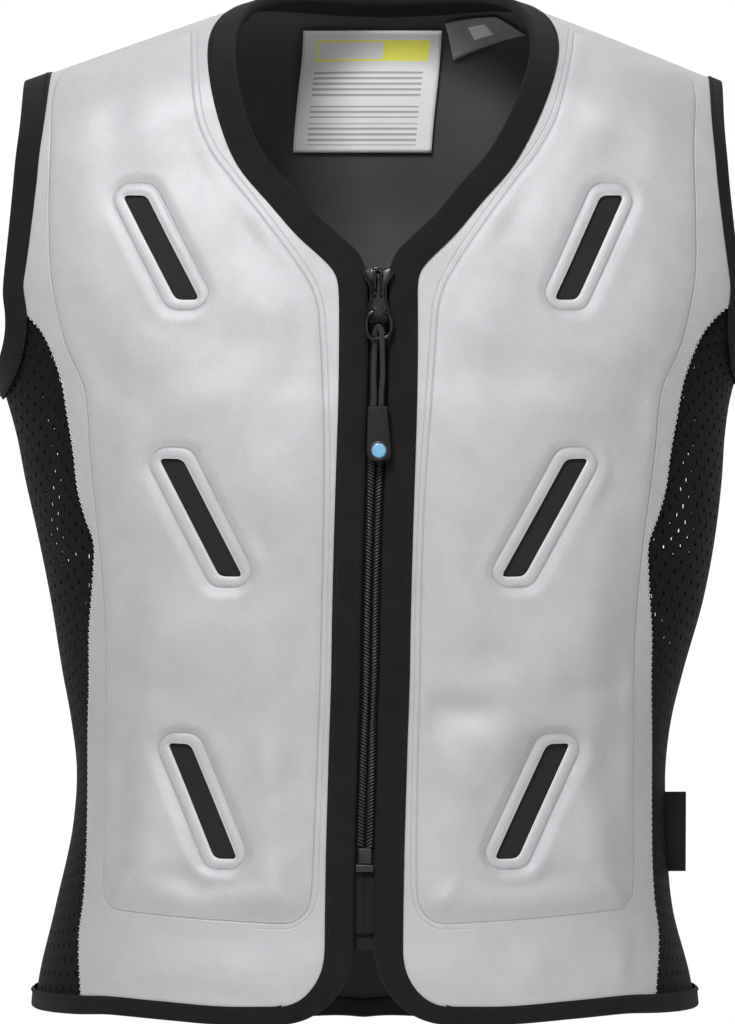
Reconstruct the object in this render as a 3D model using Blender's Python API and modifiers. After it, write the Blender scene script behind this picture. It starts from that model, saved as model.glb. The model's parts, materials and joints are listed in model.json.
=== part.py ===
"""A cooling vest, standing in its worn form.

Metres, +Z up, the front faces -Y, +X is the wearer's left. The origin lies in the middle of the neck
opening, at the height of the shoulders, where the wearer's shoulders hold the vest up.
Every cloth layer lies on one torso form. A place on it is given like a sewing pattern laid over the
shoulder: `across` from the middle, and `run` from the shoulder ridge, plus to the front, minus to the back.
"""

import math

import bmesh
import bpy
import numpy as np
from mathutils import Vector

MM = 0.001

# Main sizes of the vest
LENGTH = 483 * MM
CHEST_HALF = 180.5 * MM
FRONT_DEPTH = 105 * MM
BACK_DEPTH = 100 * MM
SHOULDER_HALF = 171.5 * MM
SHOULDER_DROP = 36.3 * MM
RIDGE_RADIUS = 46 * MM
RIDGE_HEIGHT = 7.2 * MM
RIDGE_ROUND = 35 * MM
NECK_HALF = 73.5 * MM
NECK_FRONT_RUN = 171 * MM
NECK_BACK_RUN = 34 * MM
ARMHOLE_RUN = 126 * MM
ARMHOLE_DEPTH = 171 * MM
SIDE_HEM = 488 * MM
BACK_HEM = 510 * MM
SEAM_HALF = 139.5 * MM
SEAM_BEHIND_RIDGE = 10 * MM
CORNER_RADIUS = 36 * MM
SWAY = 8 * MM
ROUNDNESS = 2.4
WIDEST_SHARE = 0.9995
MIDDLE_DOWN = 217 * MM
NORMAL_STEP = 0.5 * MM

# Cloth layers, from the inner face outwards
LINING = 1.0 * MM
LAYER_GAP = 0.5 * MM
SHEET = 1.2 * MM
BLADDER = 4.5 * MM
BLADDER_RISE = 30 * MM
FLAT_CELLS = 1
MESH = 1.2 * MM
SEAM_GAP = 0.5 * MM

# Folded edge binding
TAPE_WALL = 0.7 * MM
SLOT_CLEAR = 0.8 * MM
FACE_CLEAR = 1.3 * MM
FOLD_CLEAR = 0.8 * MM
NECK_BAND = 12.6 * MM
HEM_BAND = 8 * MM
ARMHOLE_BAND = 8 * MM

# Vent slots in the front panels
VENT_WIDTH = 11.6 * MM
VENT_CORNER = 3.2 * MM

# Zip down the front
ZIP_HALF_GAP = 6.4 * MM
ZIP_TOP = 120 * MM
COIL_BOTTOM = 398 * MM
COIL_WIDTH = 4 * MM
COIL_RISE = 2.8 * MM
COIL_SHOULDER = 3.2 * MM
COIL_SHOULDER_RISE = 1.7 * MM
ZIP_TAPE_WIDTH = 16 * MM
ZIP_TAPE = 0.7 * MM
ZIP_END = 440 * MM
TOUCH = 0.3 * MM
BOX_WIDTH = 9 * MM
BOX_LENGTH = 12 * MM
BOX_RISE = 2.4 * MM
BOX_CORNER = 1 * MM
GUARD_HALF = 14 * MM
GUARD_THICK = 1.0 * MM
GUARD_SEWN = 5 * MM
GUARD_BOTTOM = 448 * MM
GUARD_ABOVE = 4 * MM

# Zip slider and its pull
SLIDER_WIDTH = 15.5 * MM
SLIDER_LENGTH = 27 * MM
SLIDER_PLATE = 1.5 * MM
SLIDER_BACK_PLATE = 1.0 * MM
SLIDER_POST = 3 * MM
SLIDER_BODY_WIDTH = 8.6 * MM
SLIDER_BODY_LENGTH = 24.3 * MM
SLIDER_BODY_MIDDLE = 12.7 * MM
SLIDER_BACK_WIDTH = 12.4 * MM
SLIDER_BACK_LENGTH = 21.6 * MM
PLATE_CORNER = 4 * MM
BODY_CORNER = 2 * MM
BACK_CORNER = 3 * MM
POST_CORNER = 0.5 * MM
LUG_WIDTH = 5 * MM
LUG_LENGTH = 4.6 * MM
LUG_WALL = 0.8 * MM
LUG_DOWN = 22 * MM
LUG_HOLE_LENGTH = 15 * MM
BAIL_WIDTH = 12 * MM
BAIL_LENGTH = 12 * MM
BAIL_CORNER = 3 * MM
BAIL_WIRE = 0.8 * MM
CORD_RADIUS = 1.2 * MM
CORD_SPREAD = 1.7 * MM
CORD_DROP = 66 * MM
CORD_STRAIGHT = 6 * MM
CORD_FALL = 8 * MM
CORD_TURN = 4 * MM
CORD_TURN_SPREAD = 1 * MM
CORD_TURN_DEPTH = 1 * MM
CORD_LOOP_TOP = 5.4 * MM
CORD_SINK = 2 * MM
PULL_TOP_WIDTH = 9.5 * MM
PULL_WIDTH = 12.3 * MM
PULL_LENGTH = 28.5 * MM
PULL_THICK = 4.6 * MM
PULL_ROUND = 1.6 * MM
DISC_RADIUS = 3.7 * MM
DISC_THICK = 0.8 * MM
DISC_DOWN = 23 * MM

# Labels
LABEL_HALF = 35.5 * MM
LABEL_MIDDLE = -6.5 * MM
LABEL_TOP = 1 * MM
LABEL_BOTTOM = 62 * MM
LABEL_THICK = 0.5 * MM
LABEL_CLEAR = 1.8 * MM
SIZE_TAB_CLEAR = 1.2 * MM
SIDE_TAB_THICK = 0.8 * MM
SIDE_TAB_HEIGHT = 40 * MM
SIDE_TAB_REACH = 10 * MM
SIDE_TAB_TOP = 380 * MM
SIDE_TAB_ANGLE = 0.1

# Mesh density
ARM_ROWS = 9
SEAM_ROWS = 12
ARC_CELLS = 2
HEM_COLUMNS = 7
SHOULDER_COLUMNS = 4
BACK_NECK_COLUMNS = 4
ROW_EASE = 1.3
FLANK_COLUMNS = 6
CHAIN_ROWS = 14
ZIP_TAIL_ROWS = 2
CORNER_STEPS = 8
BAIL_CORNER_STEPS = 3
CORD_STEPS = 2
ROUND_SIDES = 16
DISC_SIDES = 20
LABEL_CELLS = 6
SIZE_TAB_CELLS = 3
SHARP_ANGLE = math.radians(40)

# Sections from top to bottom. Shares: down of LENGTH, right and left half width of CHEST_HALF,
# front of FRONT_DEPTH, back of BACK_DEPTH, sway of SWAY.
SECTIONS = np.array([
    # down, right, left, front, back, sway
    (-0.100, 1.108, 1.108, 0.63, 0.78, 1.00),
    (0.000, 1.108, 1.108, 0.67, 0.80, 1.00),
    (0.145, 1.108, 1.108, 0.80, 0.91, 0.30),
    (0.207, 1.108, 1.108, 0.88, 0.98, 0.38),
    (0.255, 1.106, 1.106, 0.91, 0.99, 0.48),
    (0.321, 1.055, 1.053, 0.95, 1.00, 0.50),
    (0.352, 1.022, 1.010, 0.97, 1.00, 0.48),
    (0.377, 1.000, 0.990, 0.99, 1.00, 0.45),
    (0.414, 0.972, 0.975, 1.00, 1.00, 0.38),
    (0.464, 0.946, 0.966, 1.00, 0.98, 0.28),
    (0.518, 0.914, 0.950, 0.98, 0.96, 0.18),
    (0.588, 0.877, 0.916, 0.95, 0.92, 0.08),
    (0.662, 0.846, 0.861, 0.92, 0.89, 0.00),
    (0.710, 0.823, 0.830, 0.89, 0.87, -0.10),
    (0.766, 0.807, 0.813, 0.88, 0.85, -0.20),
    (0.818, 0.816, 0.816, 0.89, 0.87, -0.29),
    (0.911, 0.869, 0.835, 0.91, 0.92, -0.38),
    (0.990, 0.917, 0.888, 0.95, 0.97, -0.40),
    (1.077, 0.925, 0.903, 0.97, 1.00, -0.40),
])
DOWN, RIGHT, LEFT, FRONT, BACK, SIDEWAYS = range(6)

# Neck edge: across as a share of NECK_HALF, run as a share of NECK_BACK_RUN or NECK_FRONT_RUN
NECK_BACK = [(0.00, 1.00), (0.27, 0.88), (0.54, 0.57), (0.74, 0.18)]
NECK_FRONT = [(0.88, 0.06), (0.97, 0.16), (0.993, 0.25), (0.96, 0.354), (0.878, 0.472), (0.762, 0.588),
              (0.571, 0.71), (0.399, 0.815), (0.231, 0.895), (0.13, 0.945)]

# Armhole edge: across as a share of SHOULDER_HALF, run as a share of ARMHOLE_RUN
ARMHOLE = [(1.000, -0.12), (1.000, 0.00), (0.994, 0.32), (1.003, 0.51), (1.018, 0.73), (1.035, 0.93),
           (1.038, 1.00)]

# Seam to the side mesh below the armhole: across as a share of SEAM_HALF, down as a share of LENGTH
SIDE_SEAM = [(1.19, 0.291), (1.13, 0.313), (1.077, 0.352), (1.050, 0.393), (1.029, 0.429), (1.014, 0.464),
             (0.988, 0.492), (0.957, 0.518), (0.956, 0.542), (0.965, 0.580), (0.973, 0.613),
             (0.974, 0.663), (0.980, 0.725), (0.982, 0.807), (0.985, 0.853), (0.993, 0.890),
             (1.007, 0.921), (1.007, 0.948), (1.000, 0.979), (1.000, 1.000)]

# Hem of the front and of the back: across as a share of SEAM_HALF, down as a share of LENGTH or BACK_HEM
HEM_FRONT = [(0.50, 1.0007), (0.72, 0.998), (0.90, 0.997)]
HEM_BACK = [(1.000, 0.969), (0.86, 0.978), (0.57, 0.992), (0.28, 0.999), (0.0, 1.0)]

# Corners of the size tab: across as a share of NECK_HALF, run as a share of NECK_BACK_RUN
SIZE_TAB = [(0.415, -1.18), (0.773, -0.67), (0.98, -0.88), (0.49, -1.77)]

# Vents: middle across as a share of SEAM_HALF, middle down as a share of LENGTH, height and slant
VENTS = [
    (0.740, 0.2215, 50 * MM, 24.5 * MM),
    (0.593, 0.4905, 57 * MM, 30 * MM),
    (0.572, 0.7790, 56 * MM, 24 * MM),
]


# Torso form
def read(column, height):
    """Value of a column of SECTIONS at a height, as a smooth curve through its rows."""
    down = SECTIONS[:, DOWN]
    values = SECTIONS[:, column]
    slopes = np.gradient(values, down)
    place = np.clip(-np.asarray(height) / LENGTH, down[0], down[-1])
    row = np.clip(np.searchsorted(down, place) - 1, 0, len(down) - 2)
    step = down[row + 1] - down[row]
    t = (place - down[row]) / step
    start = values[row] * (1 + 2 * t) * (1 - t) ** 2 + slopes[row] * step * t * (1 - t) ** 2
    end = values[row + 1] * t * t * (3 - 2 * t) + slopes[row + 1] * step * t * t * (t - 1)
    return start + end


def ridge(across):
    """Height of the shoulder ridge, which rounds off towards the middle."""
    neck_reach = math.hypot(NECK_HALF, RIDGE_ROUND)
    slope = SHOULDER_DROP / (math.hypot(SHOULDER_HALF, RIDGE_ROUND) - neck_reach)
    return RIDGE_HEIGHT - slope * (np.hypot(across, RIDGE_ROUND) - neck_reach)


def half_width(side, height):
    return CHEST_HALF * np.where(np.asarray(side) < 0, read(RIGHT, height), read(LEFT, height))


def face_depth(front, height):
    """Depth of the front or back face, with a minus sign for the front."""
    return np.where(front, -FRONT_DEPTH * read(FRONT, height), BACK_DEPTH * read(BACK, height))


def torso(across, run):
    """Points of the form, over the shoulder ridge and down the front or the back."""
    across, run = np.broadcast_arrays(np.asarray(across, float), np.asarray(run, float))
    quarter = RIDGE_RADIUS * math.pi / 2
    turn = np.minimum(np.abs(run), quarter) / RIDGE_RADIUS
    height = ridge(across) - RIDGE_RADIUS * (1 - np.cos(turn)) - np.maximum(np.abs(run) - quarter, 0)
    share = np.minimum(np.abs(across) / half_width(across, height), WIDEST_SHARE)
    bulge = (1 - share ** ROUNDNESS) ** (1 / ROUNDNESS)
    y = face_depth(run > 0, height) * bulge * np.sin(turn)
    x = across + SWAY * read(SIDEWAYS, height) * (1 - share ** 2)
    return np.stack([x, y, height], axis=-1)


def flank(side, angle, height):
    """Points of the form round the side: angle 0 is the side line, plus is to the front."""
    angle, height = np.broadcast_arrays(np.asarray(angle, float), np.asarray(height, float))
    share = np.cos(angle) ** (2 / ROUNDNESS)
    y = face_depth(angle > 0, height) * np.abs(np.sin(angle)) ** (2 / ROUNDNESS)
    x = side * half_width(side, height) * share + SWAY * read(SIDEWAYS, height) * (1 - share ** 2)
    return np.stack([x, y, height], axis=-1)


def run_at(across, height):
    """Run from the ridge down to a height."""
    drop = ridge(across) - height
    if drop < RIDGE_RADIUS:
        return RIDGE_RADIUS * math.acos(1 - max(drop, 0) / RIDGE_RADIUS)
    return RIDGE_RADIUS * (math.pi / 2 - 1) + drop


def angle_at(side, across, height):
    """Angle round the side of a place given by its distance across."""
    share = np.minimum(np.abs(across) / half_width(side, height), 1)
    return np.arccos(share ** (ROUNDNESS / 2))


def normals(points_of, first, second):
    """Outward normals of a form at places given by two coordinates."""
    step = NORMAL_STEP
    along = points_of(first + step, second) - points_of(first - step, second)
    down = points_of(first, second + step) - points_of(first, second - step)
    normal = np.cross(along, down)
    normal /= np.linalg.norm(normal, axis=-1, keepdims=True)
    middle = np.array([0, 0, -MIDDLE_DOWN])
    outward = np.sum(normal * (points_of(first, second) - middle), axis=-1, keepdims=True)
    return normal * np.sign(outward)


# Pattern outlines
def smooth_line(points, steps=16):
    """A dense smooth line through a few points."""
    points = np.array(points, float)
    ends = np.vstack([2 * points[0] - points[1], points, 2 * points[-1] - points[-2]])
    t = np.linspace(0, 1, steps, endpoint=False)[:, None]
    pieces = []
    for before, start, end, after in zip(ends[:-3], ends[1:-2], ends[2:-1], ends[3:]):
        pieces.append(0.5 * (2 * start + (end - before) * t
                             + (2 * before - 5 * start + 4 * end - after) * t ** 2
                             + (3 * start - before - 3 * end + after) * t ** 3))
    return np.vstack(pieces + [points[-1:]])


def spread(line, cells, ease=1.0):
    """Points along a line, both ends included, at even steps or at steps that grow from its start."""
    length = np.concatenate([[0], np.cumsum(np.linalg.norm(np.diff(line, axis=0), axis=1))])
    places = length[-1] * np.linspace(0, 1, cells + 1) ** ease
    return np.stack([np.interp(places, length, line[:, axis]) for axis in range(2)], axis=-1)


def from_run(line, run):
    """The part of a line whose run is over a value, with a point right on it."""
    first = np.array([[np.interp(run, line[:, 1], line[:, 0]), run]])
    return np.vstack([first, line[line[:, 1] > run]])


def join(*lines):
    return np.vstack([lines[0]] + [line[1:] for line in lines[1:]])


def neck_line():
    """Neck edge from the middle of the back to the top of the front opening."""
    back = [(NECK_HALF * across, -NECK_BACK_RUN * run) for across, run in NECK_BACK]
    front = [(NECK_HALF * across, NECK_FRONT_RUN * run) for across, run in NECK_FRONT]
    return smooth_line(back + front + [(ZIP_HALF_GAP, NECK_FRONT_RUN)])


def armhole_line():
    return smooth_line([(SHOULDER_HALF * across, ARMHOLE_RUN * run) for across, run in ARMHOLE])


def side_seam_line(hem_height):
    """Side seam from the armhole to the hem, which may reach lower than the front's."""
    start = armhole_line()[-1]
    points = [tuple(start)]
    for across, down in SIDE_SEAM:
        height = -LENGTH * down if down < 1 else -hem_height
        points.append((SEAM_HALF * across, run_at(SEAM_HALF * across, height)))
    return smooth_line(points)


def corner_line(start_share, end_share):
    """Part of the round corner at the foot of the centre front."""
    angles = np.linspace(start_share, end_share, CORNER_STEPS + 1) * math.pi / 2
    across = ZIP_HALF_GAP + CORNER_RADIUS * (1 - np.cos(angles))
    height = -LENGTH + CORNER_RADIUS * (1 - np.sin(angles))
    return np.array([(a, run_at(a, h)) for a, h in zip(across, height)])


def hem_places(table, length):
    """Places of a hem from its table of shares."""
    return [(SEAM_HALF * across, run_at(SEAM_HALF * across, -length * down)) for across, down in table]


def patch(left, right, top, bottom):
    """Places between four edge lines: rows from top to bottom, columns from left to right."""
    down = np.linspace(0, 1, len(left))[:, None, None]
    over = np.linspace(0, 1, len(top))[None, :, None]
    sides = (1 - over) * left[:, None] + over * right[:, None]
    ends = (1 - down) * top[None] + down * bottom[None]
    upper = (1 - over) * top[0] + over * top[-1]
    lower = (1 - over) * bottom[0] + over * bottom[-1]
    return sides + ends - (1 - down) * upper - down * lower


def front_pattern():
    """Pattern of the wearer's left front; the right one is its mirror image."""
    neck = from_run(neck_line(), -SEAM_BEHIND_RIDGE)
    armhole = from_run(armhole_line(), -SEAM_BEHIND_RIDGE)
    opening = np.array([neck[-1], corner_line(0, 0.5)[0]])
    inner = join(spread(neck, ARM_ROWS, ROW_EASE), spread(opening, SEAM_ROWS - ARC_CELLS, ROW_EASE),
                 spread(corner_line(0, 0.5), ARC_CELLS))
    outer = join(spread(armhole, ARM_ROWS, ROW_EASE), spread(side_seam_line(LENGTH), SEAM_ROWS, ROW_EASE))
    shoulder = spread(np.array([inner[0], outer[0]]), ARC_CELLS + HEM_COLUMNS)
    low_corner = corner_line(0.5, 1)
    hem = smooth_line([tuple(low_corner[-1])] + hem_places(HEM_FRONT, LENGTH) + [tuple(outer[-1])])
    bottom = join(spread(low_corner, ARC_CELLS), spread(hem, HEM_COLUMNS))
    return patch(inner, outer, shoulder, bottom)


def back_pattern():
    """Pattern of the back, from the wearer's right armhole to the left one; its run is negative."""
    seam_run = SEAM_BEHIND_RIDGE + SEAM_GAP
    armhole = from_run(armhole_line(), seam_run)
    neck = neck_line()
    seam_start = from_run(neck, -seam_run)[0]
    neck = np.vstack([neck[neck[:, 1] < -seam_run], seam_start]) * (1, -1)
    side_seam = side_seam_line(BACK_HEM * HEM_BACK[0][1])
    left = join(spread(armhole, ARM_ROWS, ROW_EASE), spread(side_seam, SEAM_ROWS, ROW_EASE))
    seam = np.array([left[0], neck[-1]])
    half_top = join(spread(seam, SHOULDER_COLUMNS), spread(neck[::-1], BACK_NECK_COLUMNS))
    half_hem = smooth_line(hem_places(HEM_BACK, BACK_HEM))
    half_bottom = spread(half_hem, SHOULDER_COLUMNS + BACK_NECK_COLUMNS)
    mirror = np.array([-1, 1])
    top = join(half_top * mirror, half_top[::-1])
    bottom = join(half_bottom * mirror, half_bottom[::-1])
    return patch(left * mirror, left, top, bottom) * (1, -1)


def flank_pattern(side):
    """Angles and heights of a side mesh panel, from its front seam to its back seam."""
    edges = []
    for hem in (LENGTH, BACK_HEM * HEM_BACK[0][1]):
        seam = spread(side_seam_line(hem), SEAM_ROWS, ROW_EASE)
        height = torso(seam[:, 0], seam[:, 1])[:, 2]
        angle = angle_at(side, seam[:, 0], height) * (1 if hem == LENGTH else -1)
        edges.append(np.stack([angle, height], axis=-1))
    front, back = edges
    turn = np.linspace(math.pi / 2, -math.pi / 2, FLANK_COLUMNS + 1)
    low = ARMHOLE_DEPTH + front[0, 1]
    swing = np.where(turn > 0, front[0, 0], -back[0, 0])
    top = np.stack([swing * np.sin(turn), front[0, 1] - low * np.cos(turn)], axis=-1)
    hem = smooth_line([front[-1], (0, -SIDE_HEM), back[-1]])
    bottom = spread(hem, FLANK_COLUMNS)
    return patch(front, back, top, bottom)


# Building
def collection(name):
    group = bpy.data.collections.new(name)
    bpy.context.scene.collection.children.link(group)
    return group


def material(name, colour, roughness, metallic=0.0):
    made = bpy.data.materials.new(name)
    made.use_nodes = True
    shader = made.node_tree.nodes["Principled BSDF"]
    shader.inputs["Base Color"].default_value = (*colour, 1)
    shader.inputs["Roughness"].default_value = roughness
    shader.inputs["Metallic"].default_value = metallic
    return made


def piece(name, mesh, look):
    """A named object of the vest with its material."""
    for face in mesh.polygons:
        face.use_smooth = True
    mesh.set_sharp_from_angle(angle=SHARP_ANGLE)
    made = bpy.data.objects.new(name, mesh)
    mesh.materials.append(look)
    VEST.objects.link(made)
    return made


def mesh_from(build, name):
    mesh = bpy.data.meshes.new(name)
    build.to_mesh(mesh)
    build.free()
    return mesh


def cloth(name, points, thickness, look, shares=None):
    """A cloth sheet: a grid laid on its inner face, thickened outwards."""
    rows, columns = points.shape[:2]
    build = bmesh.new()
    bmesh.ops.create_grid(build, x_segments=columns - 1, y_segments=rows - 1, size=1)
    for vertex in build.verts:
        column = round((vertex.co.x + 1) / 2 * (columns - 1))
        row = round((1 - vertex.co.y) / 2 * (rows - 1))
        vertex.index = row * columns + column
        vertex.co = points[row, column]
    build.verts.sort()
    made = piece(name, mesh_from(build, name), look)
    shell = made.modifiers.new("Thickness", "SOLIDIFY")
    shell.thickness = thickness
    shell.offset = 1
    if shares is not None:
        group = made.vertex_groups.new(name="Thickness")
        for index, share in enumerate(shares.ravel()):
            group.add([index], float(share), "REPLACE")
        shell.vertex_group = group.name
    return made


def sweep(name, sections, look, closed=False):
    """A solid through a row of like sections, each an array of points."""
    build = bmesh.new()
    rings = [[build.verts.new(point) for point in section] for section in sections]
    pairs = list(zip(rings, rings[1:]))
    if closed:
        pairs.append((rings[-1], rings[0]))
    for ring, following in pairs:
        for index in range(len(ring)):
            after = (index + 1) % len(ring)
            build.faces.new([ring[index], ring[after], following[after], following[index]])
    if not closed:
        build.faces.new(rings[0])
        build.faces.new(rings[-1])
    build.normal_update()
    bmesh.ops.recalc_face_normals(build, faces=build.faces)
    return piece(name, mesh_from(build, name), look)


def place(origin, across, up, out, x, z, n):
    """A point in a local frame: x across, z up and n outwards."""
    return origin + x * across + z * up + n * out


# Front, back and side panels
def grids(pattern, mirror=1):
    """World points and normals of a pattern laid on the torso form."""
    across = pattern[..., 0] * mirror
    run = pattern[..., 1]
    return torso(across, run), normals(torso, across, run)


def bladder_shares(pattern):
    """Thickness of a bladder panel as a share of BLADDER: flat in its first cells, full further in."""
    inner = slice(FLAT_CELLS, -FLAT_CELLS)
    flat_ring = pattern[inner, inner]
    edge = np.vstack([flat_ring[0], flat_ring[-1], flat_ring[:, 0], flat_ring[:, -1]])
    away = np.linalg.norm(pattern[:, :, None] - edge[None, None], axis=-1).min(axis=-1)
    rise = np.zeros(away.shape)
    rise[inner, inner] = np.clip(away[inner, inner] / BLADDER_RISE, 0, 1)
    flat = SHEET / BLADDER
    return flat + (1 - flat) * rise * rise * (3 - 2 * rise)


def panel(name, pattern, mirror, looks):
    """A bladder panel over its lining."""
    points, out = grids(pattern, mirror)
    if mirror < 0:
        points, out = points[:, ::-1], out[:, ::-1]
    turned = pattern[:, ::-1] if mirror < 0 else pattern
    if name.startswith("back"):
        points, out, turned = points[:, ::-1], out[:, ::-1], turned[:, ::-1]
    cloth(name.replace("panel", "lining"), points, LINING, looks["lining"])
    silver = points + out * (LINING + LAYER_GAP)
    return cloth(name, silver, BLADDER, looks["silver"], bladder_shares(turned))


def cut_vents(target, side):
    """Cuts the slanted vent slots through one front panel."""
    for index, (across, down, tall, slant) in enumerate(VENTS):
        middle = torso(side * SEAM_HALF * across, run_at(SEAM_HALF * across, -LENGTH * down))
        build = bmesh.new()
        bmesh.ops.create_cube(build, size=1)
        for vertex in build.verts:
            height = vertex.co.z * tall
            lean = side * vertex.co.z * slant
            vertex.co = Vector((vertex.co.x * VENT_WIDTH + lean, vertex.co.y * FRONT_DEPTH, height))
        upright = [edge for edge in build.edges
                   if abs(edge.verts[0].co.y - edge.verts[1].co.y) > FRONT_DEPTH / 2]
        bmesh.ops.bevel(build, geom=upright, offset=VENT_CORNER, segments=2, affect="EDGES", profile=0.5)
        cutter = bpy.data.objects.new(f"{target.name}_vent_{index + 1}", mesh_from(build, "vent"))
        cutter.location = middle
        cutter.hide_render = True
        cutter.display_type = "WIRE"
        CUTTERS.objects.link(cutter)
        cut = target.modifiers.new(f"Vent {index + 1}", "BOOLEAN")
        cut.object = cutter
        cut.operation = "DIFFERENCE"
        cut.solver = "EXACT"


# Edge binding
def edge_frames(edge, inside, out):
    """Origin, directions into the cloth, off its face and off its edge, and tangent along a closed edge."""
    tangent = np.roll(edge, -1, axis=0) - np.roll(edge, 1, axis=0)
    tangent /= np.linalg.norm(tangent, axis=1, keepdims=True)
    inward = inside - edge
    inward -= np.sum(inward * tangent, axis=1, keepdims=True) * tangent
    inward /= np.linalg.norm(inward, axis=1, keepdims=True)
    face = np.cross(tangent, inward)
    face *= np.sign(np.sum(face * out, axis=1, keepdims=True))
    off_edge = out - np.sum(out * tangent, axis=1, keepdims=True) * tangent
    off_edge /= np.linalg.norm(off_edge, axis=1, keepdims=True)
    return [list(frame) for frame in zip(edge, inward, face, off_edge, tangent)]


def binding(name, frames, widths, look, closed=False):
    """A folded tape over a cloth edge: a channel round the lining and the panel."""
    low = -SLOT_CLEAR
    high = LINING + LAYER_GAP + SHEET + FACE_CLEAR
    sections = []
    fold = -FOLD_CLEAR - TAPE_WALL
    for (origin, into, face, off_edge, tangent), width in zip(frames, widths):
        edgewise = into - into.dot(off_edge) * off_edge
        edgewise /= np.linalg.norm(edgewise)
        lips = [origin + width * into + n * face for n in (high + TAPE_WALL, low - TAPE_WALL, low, high)]
        outer = [origin + fold * edgewise + n * off_edge for n in (high + TAPE_WALL, low - TAPE_WALL)]
        inner = [origin - FOLD_CLEAR * edgewise + n * off_edge for n in (low, high)]
        sections.append([lips[0], *outer, lips[1], lips[2], *inner, lips[3]])
    return sweep(name, sections, look, closed)


def flank_grids(side):
    def points_of(angle, height):
        return flank(side, angle, height)

    pattern = flank_pattern(side)
    return points_of(pattern[..., 0], pattern[..., 1]), normals(points_of, pattern[..., 0], pattern[..., 1])


def shrink_sides(points, gap):
    """Moves the first and last columns of a grid inwards by a seam gap."""
    points = points.copy()
    for edge, inside in ((0, 1), (-1, -2)):
        step = points[:, inside] - points[:, edge]
        points[:, edge] += step / np.linalg.norm(step, axis=1, keepdims=True) * gap
    return points


def make_bindings(front, back, looks):
    """Binding of the neck and centre front, the hem and both armholes."""
    fronts = {side: grids(front, side) for side in (-1, 1)}
    rear = grids(back)
    flanks = {side: flank_grids(side) for side in (-1, 1)}
    neck = slice(SHOULDER_COLUMNS, SHOULDER_COLUMNS + 2 * BACK_NECK_COLUMNS + 1)

    def round_opening(which, row, column):
        """The closed edge loop, or the loop one cell inside it, from the foot of the right front."""
        openings = {}
        hems = {}
        for side in (-1, 1):
            grid = fronts[side][which]
            rows = grid[1:, column] if column == 0 else np.vstack([grid[1:-1, column], grid[-2, 1]])
            openings[side] = np.vstack([rows, grid[-1 - row, 1:ARC_CELLS + 1]])
            hems[side] = grid[-1 - row, ARC_CELLS + 1:]
        flank_rows = {side: flanks[side][which][-1 - row, 1:-1] for side in (-1, 1)}
        back_grid = rear[which]
        return np.vstack([openings[-1][::-1], back_grid[row, neck], openings[1], hems[1], flank_rows[1],
                          back_grid[-1 - row, ::-1], flank_rows[-1][::-1], hems[-1][::-1]])

    edge = round_opening(0, 0, 0)
    frames = edge_frames(edge, round_opening(0, 1, 1), round_opening(1, 0, 0))
    opening_count = 2 * (ARM_ROWS + SEAM_ROWS + ARC_CELLS) + 2 * BACK_NECK_COLUMNS + 1
    widths = np.full(opening_count, NECK_BAND)
    blend = np.linspace(HEM_BAND, NECK_BAND, 2 * ARC_CELLS + 1)
    widths[:2 * ARC_CELLS + 1] = blend
    widths[-2 * ARC_CELLS - 1:] = blend[::-1]
    binding("neck_binding", frames[:opening_count], widths, looks["binding"])
    hem = [list(frame) for frame in frames[opening_count - 1:] + frames[:1]]
    hem[0][0] = hem[0][0] + hem[0][-1] * TOUCH
    hem[-1][0] = hem[-1][0] - hem[-1][-1] * TOUCH
    binding("hem_binding", hem, np.full(len(hem), HEM_BAND), looks["binding"])

    for side, label in ((-1, "right"), (1, "left")):
        last = 0 if side < 0 else -1
        inner = 1 if side < 0 else -2
        loops = []
        for which, front_column, under_row, rear_column in ((0, -1, 0, last), (0, -2, 1, inner),
                                                            (1, -1, 0, last)):
            down = fronts[side][which][:ARM_ROWS + 1, front_column]
            under = flanks[side][which][under_row, 1:-1]
            up = rear[which][ARM_ROWS:0:-1, rear_column]
            loops.append(np.vstack([down, under, up]))
        frames = edge_frames(*loops)
        widths = np.full(len(frames), ARMHOLE_BAND)
        binding(f"armhole_binding_{label}", frames, widths, looks["binding"], True)


# Front zip
def zip_place(x, down, n):
    """A point of the zip: x across, down from the origin, n outwards from the inner face."""
    run = run_at(x, -down)
    out = normals(torso, np.array(float(x)), np.array(run))
    return torso(float(x), run) + n * out


def zip_strip(name, downs, outline, look):
    """A strip down the zip with a section given as (across, outwards) pairs."""
    sections = [[zip_place(x, down, n) for x, n in outline] for down in downs]
    return sweep(name, sections, look)


def zip_frame(top, bottom):
    """Origin, across, up and outwards at the top of a straight stretch of the zip."""
    origin = zip_place(0, top, 0)
    up = origin - zip_place(0, bottom, 0)
    up /= np.linalg.norm(up)
    across = np.array([1.0, 0, 0])
    across -= across.dot(up) * up
    across /= np.linalg.norm(across)
    return origin, across, up, np.cross(across, up)


def joined(name, parts, look):
    """One solid made of several overlapping meshes."""
    base = piece(name, parts[0], look)
    for index, mesh in enumerate(parts[1:]):
        tool = bpy.data.objects.new(f"{name}_part_{index + 1}", mesh)
        tool.hide_render = True
        tool.display_type = "WIRE"
        CUTTERS.objects.link(tool)
        union = base.modifiers.new(f"Join {index + 1}", "BOOLEAN")
        union.object = tool
        union.operation = "UNION"
        union.solver = "EXACT"
    return base


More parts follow.
